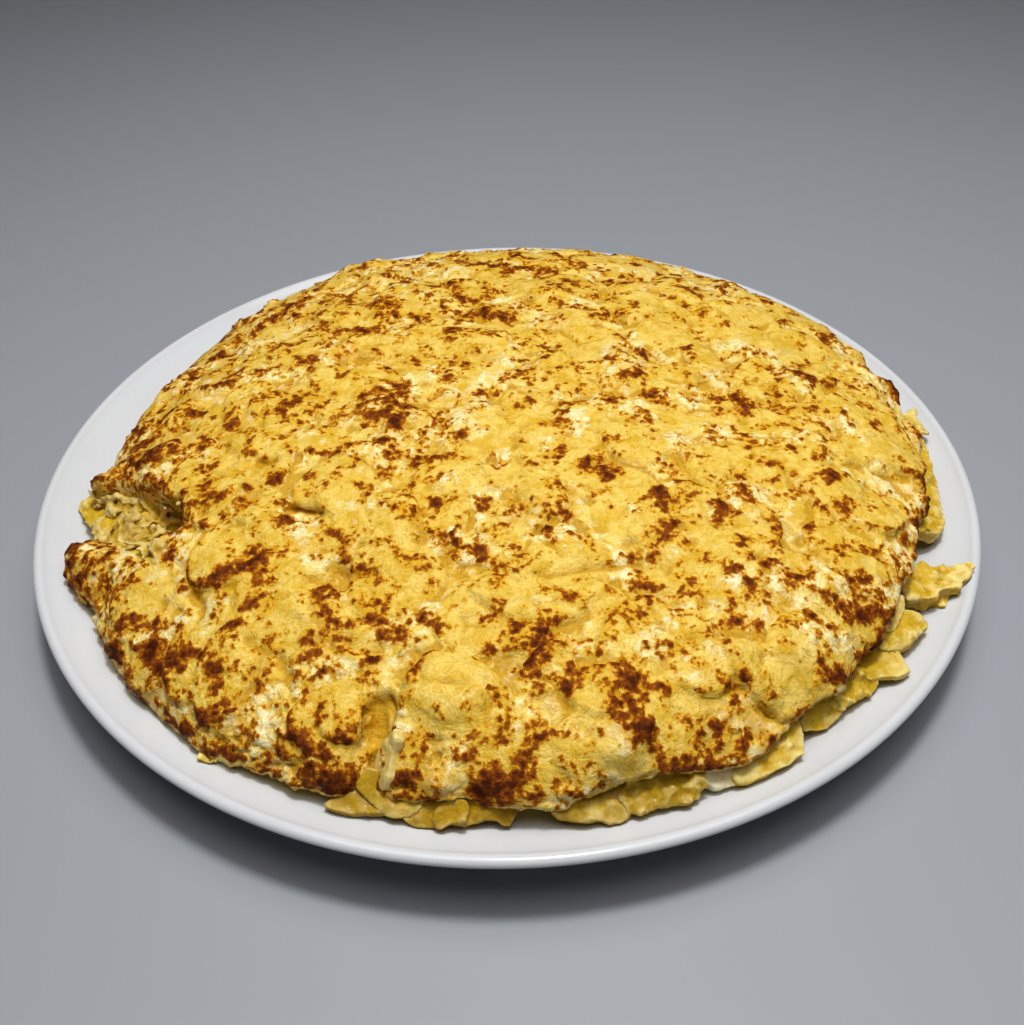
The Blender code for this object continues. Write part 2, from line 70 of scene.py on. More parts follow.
# %% [markdown]
# ## Small helpers
# An operator acts on whatever is selected, so each step first says which object it means. A modifier is
# applied as soon as it is added, because the next step works on its result.

# %% Helpers for objects
def deselect_all():
    if bpy.context.mode != "OBJECT":
        bpy.ops.object.mode_set(mode="OBJECT")
    bpy.ops.object.select_all(action="DESELECT")


def activate(*objects):
    deselect_all()
    for obj in objects:
        obj.select_set(True)
    bpy.context.view_layer.objects.active = objects[0]


def apply_modifier(obj, kind, **settings):
    activate(obj)
    modifier = obj.modifiers.new(kind.lower(), kind)
    for name, value in settings.items():
        setattr(modifier, name, value)
    bpy.ops.object.modifier_apply(modifier=modifier.name)


def new_object(name, mesh):
    obj = bpy.data.objects.new(name, mesh)
    bpy.context.scene.collection.objects.link(obj)
    return obj


def copy_of_node(node, name):
    """A copy of a CAD solid, with its loose triangles merged into one skin."""
    obj = new_object(name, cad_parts[node].data.copy())
    obj.data.materials.clear()
    activate(obj)
    bpy.ops.object.mode_set(mode="EDIT")
    bpy.ops.mesh.select_all(action="SELECT")
    bpy.ops.mesh.remove_doubles(threshold=SAME_PLACE)
    deselect_all()
    return obj


def triangles(obj):
    return sum(len(face.vertices) - 2 for face in obj.data.polygons)


# %% [markdown]
# ## The camera
# The plate's rim is a circle, and in a picture a circle is an ellipse whose place and shape fix the camera.
# The values below are the ones that lay the plate's real rim on the ellipse. The camera comes first,
# because later steps look through it to find where a spot of the picture lies on the food.

# %% Camera
PICTURE_WIDTH, PICTURE_HEIGHT = 1024, 1025
CAMERA_PLACE = Vector((0.0, -296.0 * MM, 253.7 * MM))
LOOKS_DOWN, LOOKS_RIGHT, LEANS = math.radians(40.87), math.radians(0.36), math.radians(-1.29)
VIEW_ANGLE = math.radians(50.0)
FOCAL_PIXELS = 0.5 * PICTURE_WIDTH / math.tan(0.5 * VIEW_ANGLE)
SENSOR = 36.0

bpy.ops.object.camera_add()
camera = bpy.context.object
camera.name = "camera"
forward = Vector((math.sin(LOOKS_RIGHT) * math.cos(LOOKS_DOWN), math.cos(LOOKS_RIGHT) * math.cos(LOOKS_DOWN),
                  -math.sin(LOOKS_DOWN)))
level = forward.cross(Vector((0, 0, 1))).normalized()
upright = level.cross(forward)
right = level * math.cos(LEANS) + upright * math.sin(LEANS)
up = upright * math.cos(LEANS) - level * math.sin(LEANS)
camera.matrix_world = Matrix.Translation(CAMERA_PLACE) @ Matrix((right, up, -forward)).transposed().to_4x4()
camera.data.sensor_width = SENSOR
camera.data.lens = SENSOR * FOCAL_PIXELS / PICTURE_HEIGHT
camera.data.clip_start = 10 * MM
bpy.context.scene.camera = camera
print("lens", round(camera.data.lens, 2), "mm")


# %% [markdown]
# ## The omelette's plain form
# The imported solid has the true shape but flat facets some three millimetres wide. A voxel remesh turns it
# into an even skin with a vertex each millimetre, and smoothing takes the facets off. Everything finer is
# sculpted onto this form.

# %% Plain form
SKIN_CELL = 1.02 * MM
FACET_SMOOTHING = 16
body = copy_of_node("omelette", "omelette_body")
apply_modifier(body, "REMESH", mode="VOXEL", voxel_size=SKIN_CELL, use_smooth_shade=True)
apply_modifier(body, "SMOOTH", factor=0.5, iterations=FACET_SMOOTHING)
print("plain form:", triangles(body), "triangles")


# %% Where a spot of the picture lies on the form
def tree_of(obj):
    return BVHTree.FromPolygons([v.co for v in obj.data.vertices], [f.vertices for f in obj.data.polygons])


def ray_through(x, y):
    """The direction from the camera through a pixel."""
    across, down = (x - PICTURE_WIDTH / 2) / FOCAL_PIXELS, (y - PICTURE_HEIGHT / 2) / FOCAL_PIXELS
    return (forward + right * across - up * down).normalized()


def from_picture(x, y):
    """The point and the outward direction of the skin that the camera sees at a pixel."""
    point, normal, _, _ = plain_skin.ray_cast(CAMERA_PLACE, ray_through(x, y))
    return point, normal


def from_above(x, y):
    """The point and the outward direction of the skin under a place on the plan."""
    point, normal, _, _ = plain_skin.ray_cast(Vector((x, y, 0.2)), Vector((0, 0, -1)))
    return point, normal


# %% [markdown]
# ## Let the lip sag
# Still warm, the lip hangs lower in some places than in others. Each pull below moves the skin round a
# pixel down and a little outwards, fading with distance, like a large soft brush.

# %% Pulls
# Pixel x and y, how far down and how far it fades out, in millimetres
PULLS = (
    (520, 795, 1.5, 8), (556, 786, 3.4, 8), (484, 796, 2.0, 4), (705, 752, 2.6, 9), (735, 742, 2.8, 9),
    (765, 728, 3.2, 9), (792, 710, 3.4, 9), (835, 680, 2.6, 8), (858, 655, 2.8, 8), (875, 638, 2.0, 7),
    (642, 764, 2.8, 6), (80, 552, -2.6, 4),
)
OUT_SHARE = 0.35
FADED_OUT = 3

plain_skin = tree_of(body)
for x, y, down, reach in PULLS:
    point, _ = from_picture(x, y)
    if point is None:
        continue
    outwards = Vector((point.x, point.y, 0)).normalized() * abs(down) * OUT_SHARE
    for vertex in body.data.vertices:
        away = (vertex.co - point).length / (reach * MM)
        if away < FADED_OUT:
            vertex.co += (outwards - Vector((0, 0, down))) * MM * math.exp(-away * away)
plain_skin = tree_of(body)
print("pulls:", len(PULLS))

# %% [markdown]
# ## Sculpting by rule
# A sculptor would lift and press the skin with a brush. Here the brush is a function that gives each vertex
# a lift along its normal. The arrays below hold every vertex's place and normal, so one line moves them
# all.

# %% Arrays of the skin
def read_vectors(collection, name):
    flat = np.empty(len(collection) * 3, np.float32)
    collection.foreach_get(name, flat)
    return flat.reshape(-1, 3).astype(float)


def smoothstep(low, high, value):
    t = np.clip((value - low) / (high - low), 0, 1)
    return t * t * (3 - 2 * t)


def noise_at(places, size, octaves=3, shift=0.0):
    """Fractal noise of about -1 to 1 whose largest swells are this size apart."""
    step = Vector((shift, shift * 0.7, 0))
    return np.array([noise.fractal(Vector(place) / size + step, 0.8, 2.1, octaves) for place in places])


# The skin shows where it doesn't face down, and all round the edge
FACES_DOWN, EDGE_FROM = -0.25, 118 * MM

skin = read_vectors(body.data.vertices, "co")
outward = read_vectors(body.data.vertices, "normal")
radius = np.hypot(skin[:, 0], skin[:, 1])
shown = (outward[:, 2] > FACES_DOWN) | (radius > EDGE_FROM)
print("vertices:", len(skin), "of which show:", int(shown.sum()))

# %% [markdown]
# ## Potato slices in the skin
# Slices lie flat against the pan while the omelette fries, so its skin is paved with them: discs some 30 mm
# across, one edge a little proud and the other drowned in egg. Each slice lifts the vertices above it to
# its own tilted face, and the egg is left wherever it stands higher, so a slice shows as a whole or as a
# crescent.

# %% Where the slices lie
# Pixel x and y in the picture, width and depth in millimetres, how far the face stands proud of the form in
# millimetres, and how steeply it rises towards which way on the plan, in degrees
SEEN_SLICES = (
    (740, 325, 36, 31, 0.5, 2, 80),
    (805, 490, 34, 26, 0.4, 3, 10),
    (806, 650, 22, 24, 0.6, 3, 200),
    (803, 684, 25, 16, 0.6, 3, 180),
    (452, 690, 28, 22, 0.9, 3, 100),
    (366, 520, 30, 20, 0.7, 3, 30),
    (443, 482, 27, 20, 0.6, 3, 100),
    (522, 600, 34, 17, 0.6, 3, 0),
    (700, 560, 30, 22, 0.5, 3, 60),
    (560, 450, 30, 24, 0.4, 3, 150),
    (590, 370, 30, 26, 0.4, 3, 200),
    (740, 450, 32, 24, 0.4, 3, 320),
    (560, 290, 32, 30, 0.5, 3, 90),
    (480, 330, 30, 28, 0.5, 3, 250),
    (640, 640, 30, 20, 0.5, 3, 170),
    (610, 735, 27, 22, 0.5, 3, 180),
    (240, 560, 30, 22, 0.5, 3, 45),
    (420, 300, 34, 26, 0.5, 3, 90),
    (660, 300, 30, 27, 0.5, 3, 20),
    (290, 620, 28, 24, 0.6, 3, 140),
    (200, 650, 26, 22, 0.6, 3, 220),
    (340, 715, 27, 20, 0.7, 3, 200),
    (520, 760, 27, 20, 0.5, 3, 180),
    (690, 700, 26, 20, 0.5, 3, 170),
    (860, 590, 26, 20, 0.6, 3, 120),
    (870, 420, 30, 24, 0.5, 3, 45),
    (640, 510, 27, 22, 0.5, 3, 240),
    (250, 420, 30, 24, 0.5, 3, 50),
    (330, 395, 28, 22, 0.5, 3, 70),
    (780, 385, 28, 24, 0.4, 3, 10),
)
SCATTERED, SCATTER_RADIUS, SCATTER_SHIFT = 150, 139 * MM, 6
WIDTHS = (15 * MM, 30 * MM)
DEPTH_SHARES = (0.55, 0.95)
SUNK, PROUD = -0.2 * MM, 1.5 * MM
STEEPEST = 6
EDGE = 0.45 * MM
REACH_OFF_FACE = 9 * MM
# A slice lifts only skin that faces roughly its way
FACES_ALIKE = 0.35
# How far an outline departs from an ellipse
OVAL, THREE_CORNERED = 0.08, 0.06

rng = random.Random(11)
slices = []
for x, y, width, depth, proud, rise, way in SEEN_SLICES:
    point, normal = from_picture(x, y)
    slices.append((point, normal, width * MM, depth * MM, proud * MM, rise, way, rng.uniform(0, math.tau)))
for index in range(SCATTERED):
    spread = SCATTER_RADIUS * math.sqrt((index + 0.5) / SCATTERED)
    angle = index * math.pi * (3 - math.sqrt(5))
    point, normal = from_above(spread * math.cos(angle) + rng.uniform(-SCATTER_SHIFT, SCATTER_SHIFT) * MM,
                               spread * math.sin(angle) + rng.uniform(-SCATTER_SHIFT, SCATTER_SHIFT) * MM)
    width = rng.uniform(*WIDTHS)
    draws = (width * rng.uniform(*DEPTH_SHARES), rng.uniform(SUNK, PROUD), rng.uniform(0, STEEPEST),
             rng.uniform(0, 360), rng.uniform(0, math.tau))
    if point is not None:
        slices.append((point, normal, width, *draws))
print("slices in the skin:", len(slices))


# %% Lift the skin to the slices
def slice_faces():
    """For each vertex: the height of the highest slice face under it, and how near that slice's edge is."""
    height = np.full(len(skin), -1.0)
    edge = np.full(len(skin), 1.0)
    for point, normal, width, depth, proud, rise, way, turn in slices:
        away = skin - np.array(point)
        near = np.flatnonzero((np.abs(away) < width).all(1) & (outward @ np.array(normal) > FACES_ALIKE))
        way_x, way_y = math.cos(math.radians(way)), math.sin(math.radians(way))
        across = Vector((math.cos(turn), math.sin(turn), 0))
        across = (across - normal * across.dot(normal)).normalized()
        along = normal.cross(across)
        away = away[near]
        u, v, off = away @ np.array(across), away @ np.array(along), np.abs(away @ np.array(normal))
        angle = np.arctan2(v / depth, u / width)
        swell = 1 + OVAL * np.sin(2 * angle + turn) + THREE_CORNERED * np.sin(3 * angle - 2 * turn)
        share = np.hypot(u / width, v / depth) * 2 / swell
        inside = (1 - share) * depth / 2
        face = proud + math.tan(math.radians(rise)) * (away[:, 0] * way_x + away[:, 1] * way_y)
        face = np.where(off < REACH_OFF_FACE, face, -1.0)
        lifted = face * smoothstep(-EDGE, EDGE, inside) - 1.0 * (inside < -EDGE)
        better = lifted > height[near]
        height[near[better]] = lifted[better]
        edge[near[better]] = inside[better]
    return height, edge


slice_height, slice_edge = slice_faces()
print("under a slice:", round(float((slice_height > 0).mean()), 2), "of the skin")

# %% [markdown]
# ## Egg, pits and cracks
# Between the slices the egg has set in layers and curds. The layers are terraces: a smooth noise cut into
# steps, whose edges look like torn egg. The curds are cells, round on top with sharp valleys between. Steam
# leaves pits, and cracks open where the skin folded. The cracks that the picture shows are placed by
# pixels.

# %% Egg relief
SWELL_SIZE, SWELL = 20 * MM, 0.45 * MM
LAYER_SIZE, LAYER_STEPS, LAYER_RISE = 15 * MM, 2.6, 1.7 * MM
LAYER_EDGE = 0.08
CURD_SIZE, CURD, CURD_MIDDLE = 4.6 * MM, 0.85 * MM, 0.6
CURD_WARP, WARP_SIZE = 2.2 * MM, 6 * MM
CRUMBLY_SIZE = 26 * MM
GRAIN_SIZE, GRAIN = 2.6 * MM, 0.36 * MM
PITS, PITS_WITHIN = 620, 142 * MM
PIT_RADII = (0.8 * MM, 2.2 * MM)
PIT_DEPTHS = (0.5 * MM, 1.9 * MM)

# Points along the crack as pixels, then half width and depth in millimetres
CRACKS = (
    (((430, 556), (470, 566), (500, 574), (545, 577), (590, 571), (640, 566)), 1.0, 1.1),
    (((336, 570), (350, 578), (372, 574)), 1.6, 1.6),
    (((294, 509), (305, 512), (318, 515)), 0.9, 3.0),
    (((259, 462), (274, 464)), 1.2, 2.4),
    (((173, 506), (182, 504)), 1.5, 2.5),
    (((191, 595), (199, 602)), 1.1, 1.8),
    (((103, 520), (118, 519)), 1.6, 4.5),
    (((388, 700), (391, 716), (387, 735), (377, 752), (372, 775), (371, 792)), 1.4, 3.2),
    (((379, 708), (381, 722), (379, 738)), 3.2, 2.4),
    (((345, 640), (362, 652), (380, 650)), 1.6, 1.3),
    (((405, 690), (420, 684), (445, 683), (466, 686)), 0.9, 0.9),
    (((480, 604), (505, 620), (530, 622)), 1.2, 1.1),
    (((690, 640), (720, 632), (750, 640)), 1.2, 1.1),
    (((560, 655), (590, 664), (610, 660)), 1.2, 1.1),
    (((250, 640), (262, 655), (258, 672)), 1.2, 1.1),
    (((410, 400), (440, 408), (462, 404)), 1.2, 1.1),
    (((560, 330), (580, 342), (600, 340)), 1.1, 1.1),
    (((690, 380), (712, 390), (735, 386)), 1.1, 1.1),
    (((340, 340), (362, 348), (384, 344)), 1.1, 1.1),
    (((460, 500), (474, 512), (470, 528)), 1.1, 1.1),
    (((780, 540), (800, 552), (826, 548)), 1.1, 1.1),
    (((205, 470), (225, 478), (240, 474)), 1.1, 1.2),
)


def terraces(values, steps):
    """Values cut into steps, each with a short steep edge."""
    level = np.floor(values * steps)
    part = values * steps - level
    return (level + smoothstep(0.5 - LAYER_EDGE, 0.5 + LAYER_EDGE, part)) / steps


def curds_at(places, size):
    """Round cells: 1 at a cell's middle, 0 in the valley between two cells."""
    nearest = np.array([noise.voronoi(Vector(place) / size)[0][:2] for place in places])
    return smoothstep(0.0, 0.5, nearest[:, 1] - nearest[:, 0])


warp = np.stack([noise_at(skin, WARP_SIZE, 2, shift) for shift in (11.0, 17.0, 23.0)], 1)
crumbly = smoothstep(-0.25, 0.35, noise_at(skin, CRUMBLY_SIZE, 2, 31.0))
layers = LAYER_RISE * terraces(noise_at(skin, LAYER_SIZE, 4, 3.0), LAYER_STEPS)
curds = CURD * (curds_at(skin + CURD_WARP * warp, CURD_SIZE) - CURD_MIDDLE)
egg_height = SWELL * noise_at(skin, SWELL_SIZE) + layers + curds * crumbly
grain = GRAIN * noise_at(skin, GRAIN_SIZE, 3, 3.0)

nearby = KDTree(len(skin))
for index, place in enumerate(skin):
    nearby.insert(place, index)
nearby.balance()

pressed = np.zeros(len(skin))
for _ in range(PITS):
    spread, angle = PITS_WITHIN * math.sqrt(rng.random()), rng.uniform(0, math.tau)
    point, _ = from_above(spread * math.cos(angle), spread * math.sin(angle))
    pit_radius, depth = rng.uniform(*PIT_RADII), rng.uniform(*PIT_DEPTHS)
    if point is None:
        continue
    for _, index, distance in nearby.find_range(point, 2 * pit_radius):
        pressed[index] = max(pressed[index], depth * math.exp(-((distance / pit_radius) ** 2)))


# Short folds that no one would miss in one place, but that the skin has everywhere
FOLDS, FOLDS_WITHIN = 130, 138 * MM
FOLD_STEP, FOLD_TURN = 2.6 * MM, 0.7
FOLD_LENGTH = (2, 7)
FOLD_WIDTHS = (0.7, 1.1)
FOLD_DEPTHS = (0.6, 1.6)
CRACK_WAVER = 0.9

waver = noise_at(skin, 5 * MM, 3, 21.0)
cracked = np.zeros(len(skin))


def open_crack(hits, half_width, depth):
    """Presses a groove into the skin along a line through the points that hit it."""
    line = [np.array(point) for point in hits if point is not None]
    for a, b in zip(line, line[1:]):
        reach = np.linalg.norm(b - a) / 2 + 3 * half_width * MM
        near = np.flatnonzero((np.abs(skin - (a + b) / 2) < reach).all(1))
        share = np.clip(((skin[near] - a) @ (b - a)) / ((b - a) @ (b - a)), 0, 1)
        away = np.linalg.norm(skin[near] - a - share[:, None] * (b - a), axis=1)
        groove = np.exp(-((away * (1 + CRACK_WAVER * waver[near]) / (half_width * MM)) ** 2))
        cracked[near] = np.maximum(cracked[near], depth * MM * groove)


for pixels, half_width, depth in CRACKS:
    open_crack([from_picture(x, y)[0] for x, y in pixels], half_width, depth)
for _ in range(FOLDS):
    spread, angle = FOLDS_WITHIN * math.sqrt(rng.random()), rng.uniform(0, math.tau)
    x, y, heading = spread * math.cos(angle), spread * math.sin(angle), rng.uniform(0, math.tau)
    hits = []
    for _ in range(rng.randint(*FOLD_LENGTH)):
        hits.append(from_above(x, y)[0])
        heading += rng.uniform(-FOLD_TURN, FOLD_TURN)
        x += FOLD_STEP * math.cos(heading)
        y += FOLD_STEP * math.sin(heading)
    open_crack(hits, rng.uniform(*FOLD_WIDTHS), rng.uniform(*FOLD_DEPTHS))

# The outline of the torn place in the picture: nothing in it was against the pan
TORN = ((88, 488), (106, 492), (140, 496), (167, 504), (184, 502), (186, 512), (172, 524), (162, 545),
        (156, 567), (142, 558), (113, 546), (85, 540), (70, 534), (66, 510))


def seen_at(places):
    """The pixel at which the camera sees each place."""
    away = places - np.array(CAMERA_PLACE)
    depth = away @ np.array(forward)
    return (PICTURE_WIDTH / 2 + FOCAL_PIXELS * (away @ np.array(right)) / depth,
            PICTURE_HEIGHT / 2 - FOCAL_PIXELS * (away @ np.array(up)) / depth)


def inside_outline(x, y, outline):
    """Whether each pixel is inside a polygon: an odd number of its sides lie to the right."""
    inside = np.zeros(len(x), bool)
    for (x0, y0), (x1, y1) in zip(outline, outline[1:] + outline[:1]):
        crosses = (y0 > y) != (y1 > y)
        inside ^= crosses & (x < x0 + (x1 - x0) * (y - y0) / (y1 - y0 + 1e-9))
    return inside


# The plate that it was turned out with pressed the crown flat
CROWN_FROM, CROWN_PRESSED = 51.0 * MM, 0.45
# Grain and pits are weaker on potato than on egg
GRAIN_LOST, PITS_LOST = 0.55, 0.5

torn = inside_outline(*seen_at(skin), TORN) & (skin[:, 0] < -90 * MM)
print("torn:", int(torn.sum()), "vertices")
slice_height[torn] = -1.0
potato = smoothstep(-0.1 * MM, 0.15 * MM, slice_height - egg_height)
face = np.maximum(egg_height, slice_height)
lift = face + grain * (1 - GRAIN_LOST * potato) - pressed * (1 - PITS_LOST * potato) - cracked
lift[~shown] = 0
lifted_skin = skin + outward * lift[:, None]
above = np.maximum(lifted_skin[:, 2] - CROWN_FROM, 0)
lifted_skin[:, 2] -= above * CROWN_PRESSED
body.data.vertices.foreach_set("co", lifted_skin.astype(np.float32).ravel())
body.data.update()
print("lift from", round(lift.min() / MM, 2), "to", round(lift.max() / MM, 2), "mm")

# %% [markdown]
# ## What the finish needs to know
# Browning follows the relief: the pan touched what stood proud. Each vertex keeps how far it stands out of
# its neighbourhood, whether it is potato, and how near it is to a slice's edge, and the material reads
# them.

# %% Attributes
NEIGHBOURHOOD_PASSES = 14


def neighbourhood(values, edges, passes):
    """The values averaged over and over with those of the joined vertices."""
    count = np.bincount(edges.ravel(), minlength=len(values))[:, None]
    for _ in range(passes):
        total = np.stack([np.bincount(edges[:, 0], values[edges[:, 1], k], len(values))
                          + np.bincount(edges[:, 1], values[edges[:, 0], k], len(values))
                          for k in range(values.shape[1])], 1)
        values = total / np.maximum(count, 1)
    return values


def keep_on_vertices(obj, name, values):
    attribute = obj.data.attributes.new(name, "FLOAT", "POINT")
    attribute.data.foreach_set("value", np.asarray(values, np.float32))


def edges_of(obj):
    flat = np.empty(len(obj.data.edges) * 2, np.int32)
    obj.data.edges.foreach_get("vertices", flat)
    return flat.reshape(-1, 2)


carved = read_vectors(body.data.vertices, "co")
raised = ((carved - neighbourhood(carved, edges_of(body), NEIGHBOURHOOD_PASSES)) * outward).sum(1)

# Darker places in the picture: pixel x and y, radius in millimetres and strength
SCORCHED = (
    (218, 583, 9, 1.0), (238, 622, 8, 1.0), (258, 590, 7, 0.8), (205, 560, 7, 0.6), (120, 600, 10, 1.0),
    (95, 590, 8, 0.9), (135, 650, 11, 0.9), (110, 560, 8, 0.5), (160, 680, 11, 0.8), (200, 720, 10, 0.7),
    (395, 487, 9, 0.9), (425, 505, 7, 0.7), (360, 480, 7, 0.6), (538, 460, 9, 0.8), (510, 500, 8, 0.5),
    (805, 478, 9, 0.6), (845, 505, 7, 0.4), (833, 665, 6, 0.9), (845, 640, 7, 0.6), (775, 560, 9, 0.5),
    (535, 645, 11, 0.9), (480, 655, 8, 0.6), (600, 610, 8, 0.6), (625, 700, 9, 0.8), (590, 700, 8, 0.7),
    (690, 735, 9, 0.8), (650, 745, 9, 0.7), (745, 700, 8, 0.8), (780, 660, 7, 0.6), (858, 590, 8, 0.5),
    (838, 618, 9, 0.7), (893, 570, 7, 0.5), (812, 636, 8, 0.6), (905, 520, 8, 0.6), (405, 790, 7, 1.0),
    (330, 770, 10, 0.8), (280, 745, 10, 0.7),
    (390, 640, 8, 0.6), (300, 640, 8, 0.7), (650, 450, 8, 0.4), (690, 480, 8, 0.3), (355, 330, 9, 0.7),
    (565, 285, 10, 0.9), (500, 260, 9, 0.8), (640, 280, 8, 0.5), (150, 460, 10, 0.9), (185, 420, 10, 0.8),
    (230, 360, 9, 0.6), (290, 310, 8, 0.6), (350, 445, 8, 0.5), (520, 360, 9, 0.6), (740, 405, 9, 0.7),
    (520, 760, 6, 0.4), (478, 790, 4, 0.8), (660, 590, 8, 0.4), (700, 600, 7, 0.4), (430, 560, 7, 0.5),
    (540, 350, 9, 0.6), (450, 380, 9, 0.5), (470, 550, 8, 0.5), (380, 420, 9, 0.4), (545, 505, 7, 0.5),
)
# Paler places, in the same way
PALE = (
    (130, 560, 7, 1.0), (150, 587, 9, 1.0), (176, 606, 8, 0.9), (118, 546, 4, 0.8), (860, 470, 10, 0.6),
    (165, 590, 12, 1.0), (150, 570, 8, 0.6), (600, 520, 12, 0.6), (740, 325, 14, 0.8), (480, 430, 12, 0.5),
    (452, 690, 11, 0.9), (522, 600, 9, 0.8), (805, 690, 9, 0.7), (366, 525, 8, 0.9), (700, 350, 13, 0.5),
    (560, 560, 14, 0.5), (300, 560, 9, 0.7), (860, 450, 12, 0.5), (420, 610, 9, 0.5), (640, 330, 11, 0.4),
    (780, 520, 9, 0.5), (250, 470, 9, 0.5), (600, 750, 9, 0.4), (440, 740, 9, 0.4), (788, 722, 6, 0.6),
    (383, 765, 6, 0.9), (872, 636, 5, 0.3),
)


def spots(places):
    """A field that is the spot's strength at its centre and fades over its radius."""
    field = np.zeros(len(skin))
    for x, y, spot_radius, strength in places:
        point, _ = from_picture(x, y)
        if point is not None:
            away = np.linalg.norm(skin - np.array(point), axis=1) / (spot_radius * MM)
            field = np.maximum(field, strength * np.exp(-(away**2)))
    return field


# The browning of a dark place is broken into strokes, as the skin touched the pan in ridges
STROKES, FAINTEST, STRONGEST = 1.6, 0.1, 1.9
# How much each of them adds to the browning: dark and pale places, the low edge, the left side, and all
DARK, LIGHT, LOW, LEFTWARD, OVERALL = 0.45, -0.55, 0.22, 0.11, -0.07
strokes = np.clip(1 + STROKES * waver, FAINTEST, STRONGEST)
low = smoothstep(40 * MM, 26 * MM, skin[:, 2])
leftward = smoothstep(45 * MM, -35 * MM, skin[:, 0])
browner = DARK * spots(SCORCHED) * strokes + LIGHT * spots(PALE) + LOW * low + LEFTWARD * leftward + OVERALL
rim = np.exp(-((slice_edge / (0.9 * MM)) ** 2)) * (slice_height > egg_height - 0.1 * MM)
unbrowned = np.maximum(smoothstep(-0.15, -0.5, outward[:, 2]), torn)

kept = {"raised": raised / MM, "potato": potato, "slice_rim": rim, "browner": browner, "inside": unbrowned}
for attribute_name, values in kept.items():
    keep_on_vertices(body, attribute_name, values)
print("kept on the vertices:", ", ".join(kept))
print("raised by", round(float(raised[shown].std() / MM), 3), "mm on average")

# %% [markdown]
# ## Thin out what few look at
# The underside is never seen, so its even millimetre skin is wasted, and the far side can do with less.
# Faces are selected by their normal and place, and the edit mode decimate works on the selection alone.

# %% Underside and far side
# Faces count as the underside below the first value of their normal's height, and as the top above the other
UNDERSIDE, TOPSIDE = -0.5, 0.1
HIDDEN_WITHIN, KEPT_BELOW = 116 * MM, 0.03
FAR_FROM, KEPT_FAR = 20 * MM, 0.42


def select_faces(obj, wanted):
    """Enters edit mode with only these faces selected."""
    activate(obj)
    bpy.ops.object.mode_set(mode="EDIT")
    bpy.ops.mesh.select_all(action="DESELECT")
    bpy.ops.object.mode_set(mode="OBJECT")
    for face_ in obj.data.polygons:
        face_.select = wanted(face_)
    bpy.ops.object.mode_set(mode="EDIT")
    bpy.ops.mesh.select_mode(type="FACE")


select_faces(body, lambda f: f.normal.z < UNDERSIDE and math.hypot(*f.center[:2]) < HIDDEN_WITHIN)
bpy.ops.mesh.decimate(ratio=KEPT_BELOW)
select_faces(body, lambda f: f.normal.z > TOPSIDE and f.center.y > FAR_FROM)
bpy.ops.mesh.decimate(ratio=KEPT_FAR)
deselect_all()
print("omelette:", triangles(body), "triangles")

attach(body, "root")
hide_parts("omelette")

# %% [markdown]
# ## The plate
# A plate is thrown or pressed as a turned shape, so its section is all that it needs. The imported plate
# already holds that section: cutting a copy of it through the axis with two bisects leaves one half
# outline. Its lip is subdivided and smoothed into a soft bead, and then the outline is spun in 256 steps.
# The spin gives a lip that stays round in a close view.

# %% Plate
SPIN_STEPS = 256
LIP_CUTS, LIP_SOFTENING = 3, 6
SOFT_BEYOND = 148 * MM
OFF_AXIS = 0.001 * MM
SPUN_SEAM = 0.02 * MM

plate = copy_of_node("plate", "white_plate")
activate(plate)
bpy.ops.object.mode_set(mode="EDIT")
bpy.ops.mesh.select_all(action="SELECT")
bpy.ops.mesh.bisect(plane_co=(0, 0, 0), plane_no=(0, 1, 0), clear_inner=True, clear_outer=True)
bpy.ops.mesh.select_all(action="SELECT")
bpy.ops.mesh.bisect(plane_co=(OFF_AXIS, 0, 0), plane_no=(1, 0, 0), clear_inner=True)
bpy.ops.mesh.select_all(action="DESELECT")
bpy.ops.object.mode_set(mode="OBJECT")
for vertex in plate.data.vertices:
    vertex.select = vertex.co.x > SOFT_BEYOND
bpy.ops.object.mode_set(mode="EDIT")
bpy.ops.mesh.select_mode(type="VERT")
bpy.ops.mesh.subdivide(number_cuts=LIP_CUTS)
bpy.ops.mesh.vertices_smooth(factor=0.5, repeat=LIP_SOFTENING)
bpy.ops.mesh.select_all(action="SELECT")
bpy.ops.mesh.spin(steps=SPIN_STEPS, angle=math.tau, center=(0, 0, 0), axis=(0, 0, 1))
bpy.ops.mesh.select_all(action="SELECT")
bpy.ops.mesh.remove_doubles(threshold=SPUN_SEAM)
bpy.ops.mesh.normals_make_consistent(inside=False)
bpy.ops.mesh.faces_shade_smooth()
deselect_all()
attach(plate, "root")
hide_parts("plate")
print("plate:", triangles(plate), "triangles")

# %% [markdown]
# ## The pieces under the lip
# Slices and lumps of potato squeeze out below the skin. A boiled slice is flat and breaks along an angular
# edge, so each piece starts as a flat outline. A circle's vertices are moved to where the camera's rays
# meet the tilted plane of the slice's upper face, and the face is extruded into a slab. Flakes and curds
# are stuck on, as broken potato hangs on a slice, and a fine voxel remesh fuses them. Last, what would sink
# into the plate is laid onto it.

# %% Slabs from outlines
FLAKE_RADII = (1.4 * MM, 3.4 * MM)
FLAKE_THICKNESS = (0.9 * MM, 1.8 * MM)
FLAKE_LEAN = 0.5
FLAKE_ROUNDNESS = (0.5, 0.9)
FLAKE_CORNERS = (5, 9)
CURD_RADII, CURD_SUNK = (0.7 * MM, 1.5 * MM), 0.3
PIECE_CELL = 0.5 * MM
PIECE_SOFTENING = 5
CLEAR_OF_PLATE, NEAR_PLATE = 0.2 * MM, 24 * MM
PIECE_WARP, WARP_SWELLS = 1.3 * MM, 11 * MM
PIECE_LAYERS, LAYERS_MIDDLE = 1.5, 0.3
PIECE_GRAIN, GRAIN_SWELLS = 0.12 * MM, 1.8 * MM

plate_top = tree_of(plate)


